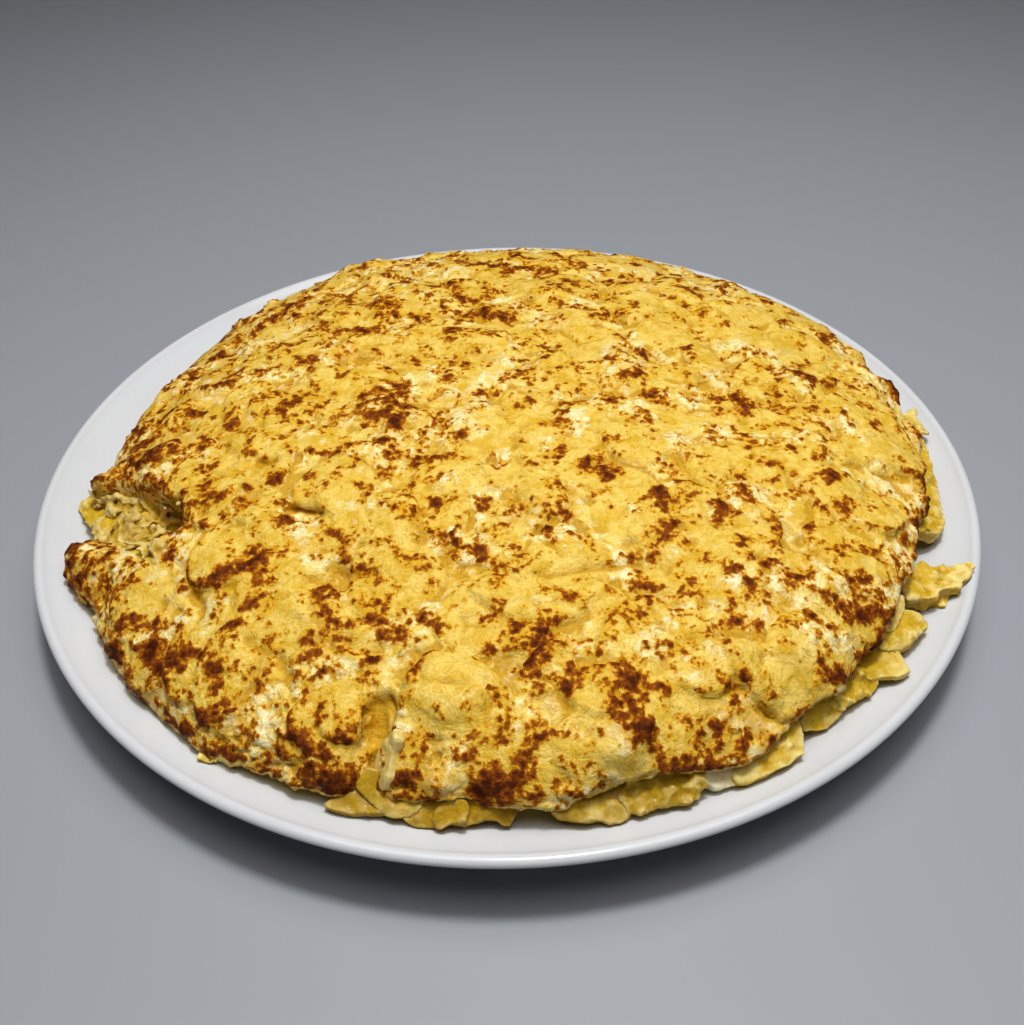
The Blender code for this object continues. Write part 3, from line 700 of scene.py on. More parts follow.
def plane_at(anchor, height, lean):
    """A point and the normal of a slice's face: at a height and leaning outwards, or lying on the skin."""
    if height is None:
        point, normal = from_picture(*anchor)
        return point + normal * lean * MM, normal
    ray = ray_through(*anchor)
    point = CAMERA_PLACE + ray * ((height * MM - CAMERA_PLACE.z) / ray.z)
    outwards = Vector((point.x, point.y, 0)).normalized()
    return point, Vector((0, 0, 1)) * math.cos(math.radians(lean)) + outwards * math.sin(math.radians(lean))


def slab(name, outline, anchor, height, lean, thickness):
    point, normal = plane_at(anchor, height, lean)
    bpy.ops.mesh.primitive_circle_add(vertices=len(outline), radius=MM, fill_type="NGON")
    made = bpy.context.object
    made.name = name
    for vertex, (x, y) in zip(made.data.vertices, outline):
        ray = ray_through(x, y)
        vertex.co = CAMERA_PLACE + ray * ((point - CAMERA_PLACE).dot(normal) / ray.dot(normal))
    bpy.ops.object.mode_set(mode="EDIT")
    bpy.ops.mesh.select_all(action="SELECT")
    down = -normal * thickness * MM
    bpy.ops.mesh.extrude_region_move(TRANSFORM_OT_translate={"value": down, "orient_type": "GLOBAL"})
    bpy.ops.mesh.select_all(action="SELECT")
    bpy.ops.mesh.normals_make_consistent(inside=False)
    deselect_all()
    return made


def flake(location, normal, roundness=FLAKE_ROUNDNESS):
    lean = normal.to_track_quat("Z", "Y").to_euler()
    turn_by = (lean.x + rng.uniform(-FLAKE_LEAN, FLAKE_LEAN), lean.y + rng.uniform(-FLAKE_LEAN, FLAKE_LEAN),
               lean.z)
    bpy.ops.mesh.primitive_cylinder_add(
        vertices=rng.randint(*FLAKE_CORNERS), radius=rng.uniform(*FLAKE_RADII),
        depth=rng.uniform(*FLAKE_THICKNESS), rotation=turn_by, location=location)
    bpy.ops.transform.resize(value=(1.0, rng.uniform(*roundness), 1.0), orient_type="LOCAL")
    return bpy.context.object


def curd(location, radius):
    bpy.ops.mesh.primitive_ico_sphere_add(subdivisions=2, radius=radius, location=location)
    return bpy.context.object


def stick_on(piece, flakes, curds, lowest=-0.2):
    """Flakes and curds on the piece's skin, joined to it. Extrude leaves its faces in another order each run,
    so they are sorted by their vertices before any is drawn."""
    faces = [face_ for face_ in piece.data.polygons if face_.normal.z > lowest]
    faces.sort(key=lambda face_: sorted(face_.vertices))
    areas = [face_.area for face_ in faces]
    stuck = [flake(spot_on(face_, piece), face_.normal) for face_ in rng.choices(faces, areas, k=flakes)]
    for face_ in rng.choices(faces, areas, k=curds):
        ball_radius = rng.uniform(*CURD_RADII)
        stuck.append(curd(spot_on(face_, piece) - face_.normal * CURD_SUNK * ball_radius, ball_radius))
    if stuck:
        activate(piece, *stuck)
        bpy.ops.object.join()


def spot_on(face_, piece):
    """A random spot on a face: somewhere between its centre and one of its sides."""
    corner = rng.randrange(len(face_.vertices))
    a = piece.data.vertices[face_.vertices[corner]].co
    b = piece.data.vertices[face_.vertices[corner - 1]].co
    side = a.lerp(b, rng.random())
    return Vector(face_.center).lerp(side, math.sqrt(rng.random()))


def fuse(piece, cell, softening):
    apply_modifier(piece, "REMESH", mode="VOXEL", voxel_size=cell, use_smooth_shade=True)
    apply_modifier(piece, "SMOOTH", factor=0.5, iterations=softening)


def roughen_piece(piece, relief):
    """A slow warp, broken layers and a fine grain, and a flat rest on the plate."""
    places = read_vectors(piece.data.vertices, "co")
    normals = read_vectors(piece.data.vertices, "normal")
    warp = PIECE_WARP * noise_at(places, WARP_SWELLS, 3, 40.0)
    broken = terraces(noise_at(places, 6 * MM, 4, 9.0), 2.5)
    places[:, 2] += warp
    layered = PIECE_LAYERS * relief * MM * (broken - LAYERS_MIDDLE)
    grained = PIECE_GRAIN * noise_at(places, GRAIN_SWELLS, 2, 5.0)
    places += normals * (layered + grained)[:, None]
    for index in np.flatnonzero(places[:, 2] < NEAR_PLATE):
        x, y, z = places[index]
        ground = plate_top.ray_cast(Vector((x, y, 0.1)), Vector((0, 0, -1)))[0]
        if ground is not None:
            places[index, 2] = max(z, ground.z + CLEAR_OF_PLATE)
    piece.data.vertices.foreach_set("co", places.astype(np.float32).ravel())
    piece.data.update()


# %% The slabs of each piece
# For each slab: the outline of its upper face in pixels, a pixel on that face with its height in millimetres,
# how far the face leans outwards in degrees, and its thickness in millimetres. Without a height the slab lies
# on the skin, and the next value is how far it stands proud in millimetres.
FRONT_1 = (((322, 805), (326, 800), (334, 797), (346, 792), (360, 788), (376, 790), (392, 800), (398, 810),
    (386, 812), (365, 813), (350, 813), (336, 811), (326, 808)), (350, 813), 20.6, 10, 3.4)
FRONT_2 = (((352, 776), (368, 768), (402, 778), (428, 795), (418, 812), (409, 818), (398, 820), (391, 819),
    (383, 814), (374, 806), (364, 798), (355, 788)), (396, 820), 20.2, 36, 3.8)
FRONT_3 = (((396, 806), (412, 800), (444, 798), (450, 815), (442, 824), (428, 827), (416, 827), (404, 822),
    (397, 815)), (420, 827), 19.3, 34, 3.5)
FRONT_3_LOBE = (((432, 822), (434, 812), (440, 803), (450, 794), (462, 796), (470, 806), (468, 815),
    (461, 821), (452, 825), (441, 829), (435, 827)), (441, 829), 20.5, 40, 3.8)
FRONT_4 = (((450, 826), (458, 812), (464, 798), (486, 794), (505, 794), (520, 806), (515, 818), (511, 826),
    (502, 826), (496, 821), (482, 823), (466, 828)), (470, 827), 19.0, 50, 3.2)
FRONT_5 = (((551, 812), (562, 798), (575, 786), (584, 774), (600, 766), (618, 768), (638, 776), (642, 794),
    (635, 808), (629, 818), (622, 823), (610, 825), (601, 821), (590, 824), (575, 823), (560, 819)),
    (600, 824), 20.5, 34, 4.6)
FRONT_6 = (((620, 798), (626, 778), (645, 768), (668, 760), (695, 756), (707, 768), (706, 782), (702, 795),
    (696, 799), (691, 799), (689, 804), (680, 806), (665, 807), (650, 810), (636, 813), (627, 813)),
    (660, 808), 21.0, 42, 6.0)
EGG_FRONT = (((703, 776), (708, 764), (722, 750), (742, 744), (750, 760), (745, 774), (737, 785),
    (724, 787), (716, 789), (710, 786)), (722, 788), 20.6, 38, 6.0)
FRONT_7 = (((733, 778), (737, 765), (741, 750), (748, 736), (764, 724), (785, 716), (800, 720), (805, 733),
    (806, 745), (802, 757), (793, 764), (782, 770), (768, 777), (752, 782), (744, 784), (737, 783)),
    (752, 783), 21.0, 26, 4.8)
RIGHT_1 = (((802, 722), (806, 706), (820, 696), (840, 694), (848, 704), (842, 717), (833, 725), (827, 730),
    (815, 731), (806, 731)), (815, 731), 20.2, 48, 4.6)
RIGHT_2 = (((828, 700), (832, 686), (842, 672), (860, 664), (876, 668), (881, 683), (877, 691), (871, 696),
    (863, 699), (858, 702), (850, 707), (842, 711), (834, 708)), (850, 707), 21.0, 34, 7.0)
RIGHT_3 = (((858, 660), (866, 646), (882, 636), (896, 643), (903, 654), (908, 663), (912, 670), (905, 675),
    (899, 678), (890, 676), (881, 676), (872, 678), (862, 674)), (895, 676), 22.5, 8, 2.8)
RIGHT_4 = (((878, 650), (882, 632), (888, 616), (898, 610), (912, 609), (920, 611), (923, 616), (929, 621),
    (929, 627), (924, 632), (916, 640), (908, 647), (903, 651), (892, 653)), (905, 650), 23.0, 22, 8.0)
CHUNK_TOP = (((902, 590), (908, 574), (913, 568), (919, 562), (923, 560), (929, 565), (936, 565),
    (943, 561), (948, 565), (960, 562), (968, 559), (973, 562), (975, 567), (972, 574), (966, 579),
    (964, 585), (962, 589), (950, 588), (943, 590), (937, 595), (930, 598), (918, 599), (906, 601)),
    (940, 585), 24.6, 2, 3.4)
CHUNK_BASE = (((902, 602), (918, 594), (935, 588), (950, 585), (957, 588), (952, 594), (949, 600),
    (947, 607), (940, 605), (934, 602), (924, 604), (914, 603), (906, 603)), (930, 600), 20.4, 2, 3.4)
SHELF_FRONT = (((912, 500), (914, 470), (924, 458), (931, 460), (936, 470), (940, 480), (941, 492),
    (944, 508), (947, 522), (945, 530), (939, 534), (928, 533), (918, 530)), (945, 525), 23.0, 20, 4.8)
SHELF_BACK = (((902, 430), (900, 414), (910, 411), (915, 413), (918, 419), (925, 424), (924, 429),
    (922, 434), (927, 446), (930, 460), (934, 474), (926, 482), (912, 464)), (924, 440), 24.0, 16, 5.5)
LEFT = (((118, 470), (110, 472), (103, 478), (97, 488), (91, 496), (80, 500), (77, 508), (81, 516),
    (86, 525), (95, 531), (110, 530), (125, 520), (128, 490)), (85, 522), 20.5, 20, 8.0)
CLEFT = (((394, 729), (395, 740), (391, 752), (389, 766), (386, 781), (382, 789), (377, 789), (374, 782),
    (373, 772), (375, 758), (380, 745), (387, 735)), (382, 764), None, 0.25, 3.0)
EDGE_SLICE = (((884, 628), (885, 612), (891, 600), (899, 594), (906, 598), (906, 610), (902, 620),
    (898, 629), (890, 634)), (892, 622), 27.0, 40, 3.0)

# Name of the new piece: its slabs, the nodes it replaces, how many flakes and curds, relief in millimetres
REMADE = (
    ("slice_front_1", (FRONT_1,), ("potato_front_1",), 0, 2, 0.20),
    ("slice_front_2", (FRONT_2,), ("potato_front_2",), 0, 3, 0.25),
    ("slice_front_3", (FRONT_3, FRONT_3_LOBE), ("potato_front_3",), 0, 4, 0.25),
    ("slice_front_4", (FRONT_4,), ("potato_front_4",), 0, 2, 0.25),
    ("slice_front_5", (FRONT_5,), ("potato_front_5",), 1, 5, 0.30),
    ("broken_potato_front", (FRONT_6,), ("potato_front_6",), 10, 30, 0.45),
    ("egg_white", (EGG_FRONT,), ("egg_white_front",), 1, 6, 0.35),
    ("slice_front_6", (FRONT_7,), ("potato_front_7",), 0, 4, 0.30),
    ("slice_right_1", (RIGHT_1,), ("potato_right_1",), 0, 3, 0.25),
    ("broken_potato_right", (RIGHT_2,), ("potato_right_2",), 8, 20, 0.45),
    ("slice_right_2", (RIGHT_3,), ("potato_right_3",), 0, 1, 0.20),
    ("puffy_potato", (RIGHT_4,), ("potato_right_4",), 2, 8, 0.45),
    ("loose_chunk", (CHUNK_TOP, CHUNK_BASE), ("potato_right_5",), 2, 5, 0.55),
    ("filling_right", (SHELF_FRONT, SHELF_BACK), ("potato_right_6", "filling_right_1", "filling_right_2"),
     5, 22, 0.40),
    ("filling_left", (LEFT,), ("filling_left_1", "filling_left_2"), 16, 30, 0.45),
    ("slice_in_cleft", (CLEFT,), (), 0, 0, 0.20),
    ("slice_at_edge", (EDGE_SLICE,), (), 0, 0, 0.20),
    ("crumb_of_potato", (), ("crumb_left",), 0, 3, 0.40),
    ("slice_back_1", (), ("potato_back_1",), 0, 3, 0.35),
    ("broken_potato_back", (), ("potato_back_2",), 5, 10, 0.50),
    ("slice_back_2", (), ("potato_back_3",), 0, 3, 0.35),
)

# %% Remake each piece
RIM_PASSES = 16
# Painted shade: a piece darkens from where it comes out from under the lip to where it lies deep under it,
# and on steep walls. The pieces listed below get none of it.
UNSHADED_BEYOND, SHADED_WITHIN = 148 * MM, 133 * MM
WALL_SHADE, WALL_FROM, WALL_TO = 0.85, 0.75, 0.30
UNSHADED_PIECES = ("slice_in_cleft", "torn_filling", "slice_at_edge")
SOFTER_PIECES = {"slice_in_cleft": 11}
# How deeply each piece is soaked in oil and painted with shade under the lip: most of all those in the pool
# at the front
SOAKED_AND_SHADED_PIECES = {"slice_front_1": 0.85, "slice_front_2": 0.6, "slice_front_3": 0.65, "slice_front_4": 0.9,
                 "slice_front_5": 0.45, "broken_potato_front": 0.5, "slice_right_1": 0.12,
                 "broken_potato_right": 0.12, "slice_right_2": 0.08, "slice_in_cleft": 0.14,
                 "torn_filling": 0.40}


def keep_finish(piece):
    """What the material reads: which parts stand proud, and as painted shade how far in under the lip each is
    and which of its walls are steep, and how soaked and shaded each piece is.
    """
    places = read_vectors(piece.data.vertices, "co")
    normals = read_vectors(piece.data.vertices, "normal")
    raised = ((places - neighbourhood(places, edges_of(piece), RIM_PASSES)) * normals).sum(1)
    keep_on_vertices(piece, "raised", raised / MM)
    away = np.hypot(places[:, 0], places[:, 1])
    if piece.name not in UNSHADED_PIECES:
        shaded_walls = WALL_SHADE * smoothstep(WALL_FROM, WALL_TO, normals[:, 2])
        keep_on_vertices(piece, "deep_and_shade", np.maximum(smoothstep(UNSHADED_BEYOND, SHADED_WITHIN, away), shaded_walls))
    keep_on_vertices(piece, "soaked_and_shaded", np.full(len(places), SOAKED_AND_SHADED_PIECES.get(piece.name, 0.0)))


pieces = []
for name, slabs, nodes, flakes, curd_count, relief in REMADE:
    parts = [slab(name, *values) for values in slabs] or [copy_of_node(node, name) for node in nodes]
    activate(*parts)
    if len(parts) > 1:
        bpy.ops.object.join()
    piece = parts[0]
    bpy.ops.object.transform_apply(location=True, rotation=True, scale=True)
    stick_on(piece, flakes, curd_count)
    fuse(piece, PIECE_CELL, SOFTER_PIECES.get(name, PIECE_SOFTENING))
    roughen_piece(piece, relief)
    keep_finish(piece)
    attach(piece, "root")
    if nodes:
        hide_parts(*nodes)
    pieces.append(piece)
print("pieces:", len(pieces), "triangles:", sum(triangles(piece) for piece in pieces))

# %% [markdown]
# ## The torn place
# At the left the skin has split, and the inside crumbles out: potato in flakes and egg in curds, with a
# strand of egg white across the gap. They are strewn over the hollow by casting rays through the torn
# outline, and fused into one crumbly mass.

# %% Crumbs in the tear
TEAR_FLAKES, TEAR_CURDS = 150, 50
SHREDS = (0.25, 0.6)
# How far flakes, curds and the strand stand off the torn skin, and the pieces' relief, in millimetres
FLAKES_OFF, CURDS_OFF, STRAND_OFF, TEAR_RELIEF = (-1.0, 2.1), (0.0, 1.6), 2.2, 0.45
# A pixel with its half width and half height: nothing lies there
HOLE = (110, 520, 11, 6)
STRAND = ((171, 505), (168, 512), (165, 519), (161, 526), (157, 533))
STRAND_RADIUS = 1.3 * MM

left_x, right_x = min(x for x, _ in TORN), max(x for x, _ in TORN)
top_y, bottom_y = min(y for _, y in TORN), max(y for _, y in TORN)
crumbs = []
while len(crumbs) < TEAR_FLAKES + TEAR_CURDS:
    x, y = rng.uniform(left_x, right_x), rng.uniform(top_y, bottom_y)
    point, normal = from_picture(x, y)
    in_hole = math.hypot((x - HOLE[0]) / HOLE[2], (y - HOLE[1]) / HOLE[3]) < 1
    if point is None or in_hole or not inside_outline(np.array([x]), np.array([y]), TORN)[0]:
        continue
    if len(crumbs) < TEAR_FLAKES:
        off_skin = point + normal * rng.uniform(*FLAKES_OFF) * MM
        crumbs.append(flake(off_skin, normal + Vector((0, 0, 0.5)), SHREDS))
    else:
        curd_radius = rng.uniform(*CURD_RADII)
        crumbs.append(curd(point + normal * rng.uniform(*CURDS_OFF) * MM, curd_radius))
for x, y in STRAND:
    point, normal = from_picture(x, y)
    crumbs.append(curd(point + normal * STRAND_OFF * MM, STRAND_RADIUS))
activate(*crumbs)
bpy.ops.object.join()
torn_filling = crumbs[0]
torn_filling.name = "torn_filling"
bpy.ops.object.transform_apply(location=True, rotation=True, scale=True)
fuse(torn_filling, PIECE_CELL, PIECE_SOFTENING)
roughen_piece(torn_filling, TEAR_RELIEF)
keep_finish(torn_filling)
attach(torn_filling, "root")
pieces.append(torn_filling)
print("torn filling:", triangles(torn_filling), "triangles")

# %% [markdown]
# ## Helpers for materials
# A material is a small program of nodes. These helpers add a node, set its inputs and link what is a
# socket.

# %% Node helpers
def set_inputs(tree, node, inputs):
    """Inputs by name or number, each a value or another node's output."""
    for key, value in inputs.items():
        if isinstance(value, bpy.types.NodeSocket):
            tree.links.new(value, node.inputs[key])
        else:
            node.inputs[key].default_value = value


def add_node(tree, kind, inputs, **settings):
    node = tree.nodes.new("ShaderNode" + kind)
    for name, value in settings.items():
        setattr(node, name, value)
    set_inputs(tree, node, inputs)
    return node


def calculate(tree, operation, *values):
    return add_node(tree, "Math", dict(enumerate(values)), operation=operation).outputs[0]


def weighted_sum(tree, terms):
    """The sum of values, each times its weight."""
    total = 0.0
    for value, weight in terms:
        total = calculate(tree, "MULTIPLY_ADD", value, weight, total)
    return total


def noise_value(tree, where, scale, detail=2.0, roughness=0.5, distortion=0.0):
    inputs = {"Vector": where, "Scale": scale, "Detail": detail, "Roughness": roughness,
              "Distortion": distortion}
    return add_node(tree, "TexNoise", inputs).outputs["Fac"]


def scaled_to(tree, value, low, high, to_low=0.0, to_high=1.0):
    inputs = {"Value": value, "From Min": low, "From Max": high, "To Min": to_low, "To Max": to_high}
    return add_node(tree, "MapRange", inputs).outputs["Result"]


def mixed(tree, share, first, second):
    """A colour between two: inputs 0, 6 and 7 of a Mix node are its factor and its two colours."""
    return add_node(tree, "Mix", {0: share, 6: first, 7: second}, data_type="RGBA").outputs[2]


def ramp(tree, value, stops):
    node = add_node(tree, "ValToRGB", {"Fac": value})
    elements = node.color_ramp.elements
    while len(elements) < len(stops):
        elements.new(0.5)
    for element, (position, colour) in zip(elements, stops):
        element.position = position
        element.color = (*colour, 1.0)
    return node.outputs["Color"]


def read_attribute(tree, name):
    return add_node(tree, "Attribute", {}, attribute_name=name).outputs["Fac"]


def new_group(name, inputs, outputs):
    """A node group whose sockets are all plain values, but for the place where the pattern is read."""
    tree = bpy.data.node_groups.new(name, "ShaderNodeTree")
    for socket in inputs:
        kind = "NodeSocketVector" if socket == "Place" else "NodeSocketFloat"
        tree.interface.new_socket(socket, in_out="INPUT", socket_type=kind)
    for socket in outputs:
        tree.interface.new_socket(socket, in_out="OUTPUT", socket_type="NodeSocketFloat")
    return tree, tree.nodes.new("NodeGroupInput").outputs, tree.nodes.new("NodeGroupOutput").inputs


def use_group(tree, group, inputs):
    node = tree.nodes.new("ShaderNodeGroup")
    node.node_tree = group
    set_inputs(tree, node, inputs)
    return node.outputs


def new_material(name, **fixed):
    """A material whose constants are set straight on its Principled BSDF."""
    material = bpy.data.materials.new(name)
    material.use_nodes = True
    tree = material.node_tree
    shader = tree.nodes["Principled BSDF"]
    for key, value in fixed.items():
        shader.inputs[key.replace("_", " ")].default_value = value
    place = tree.nodes.new("ShaderNodeTexCoord").outputs["Object"]
    return material, tree, shader, place


def dress(obj, material):
    obj.data.materials.clear()
    obj.data.materials.append(material)


# %% [markdown]
# ## Three effects that the food shares
# Browning comes in ragged islands with golden edges: a coarse noise says where, a fine noise with much
# detail frays their outline, and cells some two millimetres wide blister them. The grain is what set egg
# and waxy potato have close up: a fine roughness, and mottling that shifts the colour a little. Torn layers
# are a noise cut into steps, as thin sheets of egg lie on each other. Each is a group, so the skin and the
# loose pieces can both use it.

# %% Browning group
SPECK_MIDDLE, BLISTER_MIDDLE = 0.5, 0.64
WHERE_SHARE, ISLANDS_SHARE, SPECKS_SHARE, BLISTERS_SHARE = 0.25, 0.75, 0.17, 0.13
browning_group, given, put_out = new_group("pan browning", ("Place", "Push"), ("Browning",))
tree = browning_group
where_browned = noise_value(tree, given["Place"], 48.0, 2.0)
islands = noise_value(tree, given["Place"], 150.0, 8.0, 0.62, 0.15)
specks = noise_value(tree, given["Place"], 760.0, 4.0, 0.65)
blisters = add_node(tree, "TexVoronoi", {"Vector": given["Place"], "Scale": 430.0, "Detail": 1.0},
                    feature="F1").outputs["Distance"]
frayed = calculate(tree, "SUBTRACT", specks, SPECK_MIDDLE)
blistered = calculate(tree, "SUBTRACT", BLISTER_MIDDLE, blisters)
browning = weighted_sum(tree, ((where_browned, WHERE_SHARE), (islands, ISLANDS_SHARE),
                               (frayed, SPECKS_SHARE), (blistered, BLISTERS_SHARE)))
browning = calculate(tree, "ADD", browning, given["Push"])
tree.links.new(browning, put_out["Browning"])

# %% Grain group
grain_group, given, put_out = new_group("food grain", ("Place",), ("Mottling", "Height"))
tree = grain_group
mottling = noise_value(tree, given["Place"], 190.0, 6.0, 0.62, 0.4)
fine = noise_value(tree, given["Place"], 1100.0, 4.0, 0.6)
coarse = noise_value(tree, given["Place"], 420.0, 4.0, 0.6)
tree.links.new(mottling, put_out["Mottling"])
tree.links.new(weighted_sum(tree, ((coarse, 1.0), (fine, 0.4))), put_out["Height"])

# %% Torn layers group
layers_group, given, put_out = new_group("torn layers", ("Place", "Scale", "Steps"), ("Height", "Edge"))
tree = layers_group
swells = add_node(tree, "TexNoise", {"Vector": given["Place"], "Scale": given["Scale"], "Detail": 6.0,
                                     "Roughness": 0.6, "Distortion": 0.7}).outputs["Fac"]
stepped = calculate(tree, "MULTIPLY", swells, given["Steps"])
part = calculate(tree, "FRACT", stepped)
level = calculate(tree, "SUBTRACT", stepped, part)
stairs = calculate(tree, "ADD", level, scaled_to(tree, part, 0.38, 0.62))
tree.links.new(calculate(tree, "DIVIDE", stairs, given["Steps"]), put_out["Height"])
from_edge = calculate(tree, "ABSOLUTE", calculate(tree, "SUBTRACT", part, 0.5))
tree.links.new(scaled_to(tree, from_edge, 0.22, 0.06), put_out["Edge"])

# %% [markdown]
# ## Browned egg
# The skin is yellow egg with paler potato in it. How far it browned is one number at each spot: the islands
# of the group, pushed up where the relief is proud, at slice edges and in the places that the picture shows
# dark. A colour ramp then runs from golden through orange and brown to nearly black.

# %% Browned egg material
CREAM, YELLOW, GOLD = (0.95, 0.84, 0.46, 1), (0.88, 0.645, 0.145, 1), (0.72, 0.38, 0.014, 1)
# The colour of the painted shade in the skin's hollows.
HOLLOW_SHADE = (0.52, 0.27, 0.006, 1)
GRAIN_MIDDLE = 0.7
WAXY, WAXY_DEEP = (0.86, 0.61, 0.13, 1), (0.72, 0.44, 0.035, 1)
INNER_POTATO = (0.66, 0.43, 0.04, 1)
CRUST_STOPS = ((0.0, (0.66, 0.31, 0.010)), (0.14, (0.52, 0.185, 0.004)), (0.30, (0.31, 0.080, 0.0025)),
               (0.55, (0.19, 0.040, 0.002)), (0.80, (0.125, 0.023, 0.002)), (1.0, (0.065, 0.013, 0.002)))
GOLDEN_FROM, CRUST_STARTS, CRUST_FULL, CRUST_BURNT = 0.464, 0.516, 0.530, 0.665

# How much each attribute of the skin pushes the browning
PUSHES = (("browner", 0.13), ("raised", 0.055), ("slice_rim", 0.025), ("potato", -0.015), ("inside", -0.25))

egg_material, tree, shader, place = new_material(
    "browned_egg", Subsurface_Weight=0.05, Subsurface_Scale=0.0012, Specular_IOR_Level=0.08,
    Coat_Roughness=0.22)
shader.inputs["Subsurface Radius"].default_value = (1.0, 0.5, 0.12)
potato_mask = read_attribute(tree, "potato")
raised_mm = read_attribute(tree, "raised")
grain_out = use_group(tree, grain_group, {"Place": place})
push = weighted_sum(tree, [(read_attribute(tree, name), weight) for name, weight in PUSHES])
browned = use_group(tree, browning_group, {"Place": place, "Push": push})["Browning"]

shades = noise_value(tree, place, 60.0, 5.0, 0.6, 0.3)
layers_out = use_group(tree, layers_group, {"Place": place, "Scale": 190.0, "Steps": 11.0})
fine_grain = calculate(tree, "SUBTRACT", grain_out["Height"], GRAIN_MIDDLE)
# Paleness follows the mottling, the torn layers and the fine grain, and, as painted light, how far the relief
# stands proud.
paleness = weighted_sum(tree, ((grain_out["Mottling"], 0.5), (layers_out["Height"], 0.5),
                               (raised_mm, 0.10), (fine_grain, 0.45)))
egg_colour = mixed(tree, scaled_to(tree, paleness, 0.60, 0.44), CREAM, YELLOW)
egg_colour = mixed(tree, scaled_to(tree, shades, 0.5, 0.66, 0.0, 0.8), egg_colour, GOLD)
wax_colour = mixed(tree, scaled_to(tree, grain_out["Mottling"], 0.42, 0.62), WAXY, WAXY_DEEP)
soft = mixed(tree, potato_mask, egg_colour, wax_colour)
soft = mixed(tree, scaled_to(tree, browned, GOLDEN_FROM, CRUST_STARTS, 0.0, 0.9), soft, GOLD)
# Painted shade: the low spots of the fine grain and the edges of the torn layers turn gold, as crevices and
# steps would be shaded.
soft = mixed(tree, scaled_to(tree, grain_out["Height"], 0.62, 0.48, 0.0, 0.35), soft, GOLD)
soft = mixed(tree, calculate(tree, "MULTIPLY", layers_out["Edge"], 0.30), soft, GOLD)
# Painted shade: the hollows of the relief turn a deep orange gold.
soft = mixed(tree, scaled_to(tree, raised_mm, -0.16, -0.75, 0.0, 0.85), soft, HOLLOW_SHADE)
soft = mixed(tree, read_attribute(tree, "inside"), soft, INNER_POTATO)
crust = ramp(tree, scaled_to(tree, browned, CRUST_STARTS, CRUST_BURNT), CRUST_STOPS)
colour = mixed(tree, scaled_to(tree, browned, CRUST_STARTS - 0.005, CRUST_FULL), soft, crust)
tree.links.new(colour, shader.inputs["Base Color"])
gloss = scaled_to(tree, grain_out["Mottling"], 0.3, 0.7, 0.36, 0.56)
gloss = calculate(tree, "MULTIPLY_ADD", scaled_to(tree, browned, CRUST_STARTS, CRUST_BURNT), 0.15, gloss)
tree.links.new(gloss, shader.inputs["Roughness"])
wet = noise_value(tree, place, 85.0, 3.0, 0.5)
wet = calculate(tree, "MULTIPLY", scaled_to(tree, wet, 0.50, 0.62, 0.0, 0.22),
                scaled_to(tree, browned, CRUST_FULL, GOLDEN_FROM))
tree.links.new(wet, shader.inputs["Coat Weight"])
crust_height = scaled_to(tree, browned, GOLDEN_FROM, CRUST_BURNT, 0.0, 1.0)
height = weighted_sum(tree, ((grain_out["Height"], 1.0), (crust_height, 0.6), (layers_out["Height"], 2.2)))
bump = add_node(tree, "Bump", {"Height": height, "Strength": 0.7, "Distance": 1.0 * MM})
tree.links.new(bump.outputs["Normal"], shader.inputs["Normal"])
dress(body, egg_material)

# %% [markdown]
# ## Cooked potato and egg white
# Boiled potato is waxy: light goes into it, it shines where it is wet, and its colour runs from pale yellow
# to olive. The loose pieces have it, with a few flecks of browning. The egg white is the same recipe,
# paler.

# %% Potato and egg white materials
# A darker amber for soaked pieces: partly oil, partly painted shade under the lip.
SOAKED_AND_SHADED = (0.34, 0.185, 0.004, 1)


def moist_food(name, pale, deep_and_shade, hollow_shade, fleck, fleck_push):
    material, tree, shader, place = new_material(
        name, Subsurface_Weight=0.22, Subsurface_Scale=0.003, Specular_IOR_Level=0.12, Coat_Weight=0.09,
        Coat_Roughness=0.10)
    shader.inputs["Subsurface Radius"].default_value = (1.0, 0.6, 0.18)
    grain_out = use_group(tree, grain_group, {"Place": place})
    browned = use_group(tree, browning_group, {"Place": place, "Push": fleck_push})["Browning"]
    large = noise_value(tree, place, 70.0, 4.0, 0.55, 0.2)
    layers_out = use_group(tree, layers_group, {"Place": place, "Scale": 240.0, "Steps": 8.0})
    raised_mm = read_attribute(tree, "raised")
    # The deep colour is a tone that wanders at random and also painted shade: under the lip, on steep walls
    # and where the relief sinks; what stands proud is paler, as painted light.
    share = weighted_sum(tree, ((large, 0.3), (grain_out["Mottling"], 0.4), (layers_out["Height"], 0.3),
                                (read_attribute(tree, "deep_and_shade"), 0.22), (raised_mm, -0.22)))
    colour = mixed(tree, scaled_to(tree, share, 0.43, 0.61), pale, deep_and_shade)
    # Painted shade: the hollows of each piece darken towards the hollow colour.
    colour = mixed(tree, scaled_to(tree, raised_mm, -0.06, -0.55, 0.0, 0.85), colour, hollow_shade)
    # Oil and painted shade: the soaked pieces darken towards amber, more in some spots than in others.
    wander = scaled_to(tree, grain_out["Mottling"], 0.38, 0.62, 0.65, 1.15)
    colour = mixed(tree, calculate(tree, "MULTIPLY", read_attribute(tree, "soaked_and_shaded"), wander), colour, SOAKED_AND_SHADED)
    colour = mixed(tree, scaled_to(tree, browned, 0.56, 0.62), colour, fleck)
    tree.links.new(colour, shader.inputs["Base Color"])
    tree.links.new(scaled_to(tree, grain_out["Mottling"], 0.35, 0.65, 0.22, 0.42), shader.inputs["Roughness"])
    height = weighted_sum(tree, ((grain_out["Height"], 1.0), (layers_out["Height"], 1.8)))
    bump = add_node(tree, "Bump", {"Height": height, "Strength": 0.5, "Distance": 0.7 * MM})
    tree.links.new(bump.outputs["Normal"], shader.inputs["Normal"])
    return material


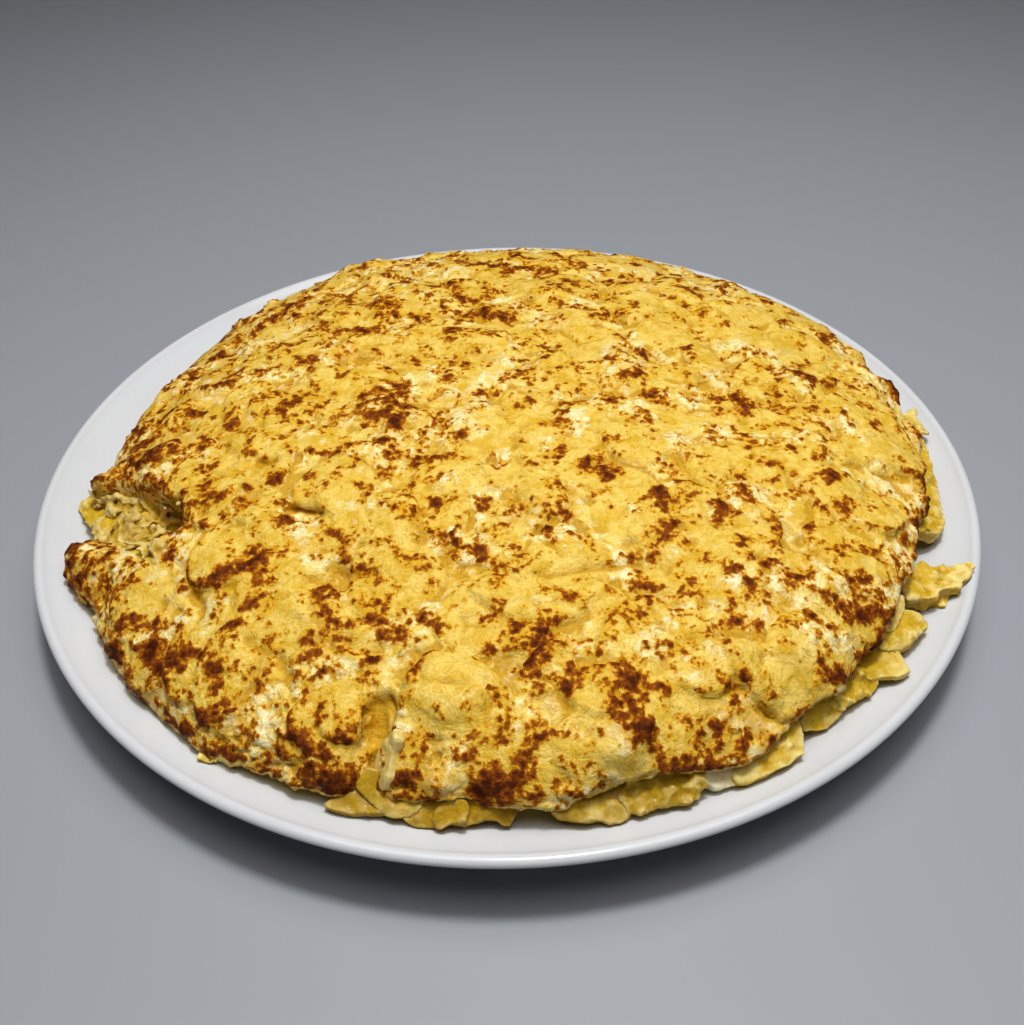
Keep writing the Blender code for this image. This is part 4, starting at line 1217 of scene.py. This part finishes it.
potato_material = moist_food("cooked_potato", (0.85, 0.665, 0.235, 1), (0.62, 0.39, 0.02, 1),
                             (0.40, 0.19, 0.006, 1), (0.20, 0.09, 0.01, 1), -0.06)
white_material = moist_food("egg_white", (0.86, 0.80, 0.58, 1), (0.74, 0.62, 0.32, 1),
                            (0.50, 0.34, 0.08, 1), (0.45, 0.28, 0.06, 1), -0.10)
for piece in pieces:
    dress(piece, white_material if piece.name == "egg_white" else potato_material)

# %% [markdown]
# ## Porcelain
# The glaze is smooth and clear over a white body. Wiping leaves faint streaks in its gloss, so the
# roughness wanders a little and the colour hardly at all.

# %% Porcelain material
glaze, tree, shader, place = new_material("porcelain", Specular_IOR_Level=0.5)
wiped = noise_value(tree, place, 18.0, 4.0, 0.6, 0.8)
colour = mixed(tree, scaled_to(tree, wiped, 0.3, 0.7), (0.635, 0.648, 0.668, 1), (0.61, 0.62, 0.632, 1))
tree.links.new(colour, shader.inputs["Base Color"])
tree.links.new(scaled_to(tree, wiped, 0.3, 0.7, 0.07, 0.14), shader.inputs["Roughness"])
dress(plate, glaze)

# %% [markdown]
# ## Studio
# A plain pale table under a dim, even sky. Two lights hang at the same place above: a small lamp gives the
# shadow of the plate its edge, and a wide soft one fills it. A faint third light in front lifts the shadows
# under the lip a little.

# %% Floor and lights
bpy.ops.mesh.primitive_plane_add(size=6.0)
floor = bpy.context.object
floor.name = "floor"
floor_material, tree, shader, place = new_material("pale_table", Roughness=0.55)
shader.inputs["Base Color"].default_value = (0.29, 0.305, 0.33, 1)
dress(floor, floor_material)
floor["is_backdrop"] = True


WHITE = (1.0, 1.0, 1.0)
ABOVE, IN_FRONT = (0.05, -0.06, 0.85), (0.15, -0.80, 0.50)
SKY_STRENGTH = 0.011


def soft_light(name, place, size, watts):
    bpy.ops.object.light_add(type="AREA", location=place)
    light = bpy.context.object
    light.name = name
    light.data.shape = "DISK"
    light.data.size = size
    light.data.energy = watts
    light.data.color = WHITE
    light.rotation_euler = (-Vector(place)).to_track_quat("-Z", "Y").to_euler()


soft_light("lamp", ABOVE, 0.15, 4.75)
soft_light("sky", ABOVE, 0.85, 4.75)
soft_light("light_front", IN_FRONT, 0.5, 0.12)
world = bpy.data.worlds.new("studio")
bpy.context.scene.world = world
world.use_nodes = True
background = world.node_tree.nodes["Background"]
background.inputs["Color"].default_value = (*WHITE, 1)
background.inputs["Strength"].default_value = SKY_STRENGTH
bpy.context.scene.view_settings.view_transform = "Standard"

# %% Print the size of the model and of the scene
visual_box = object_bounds()
for box_name, box in (("cad", cad_box), ("visual", visual_box)):
    print(box_name, "box:", [[round(v, 4) for v in corner] for corner in box])
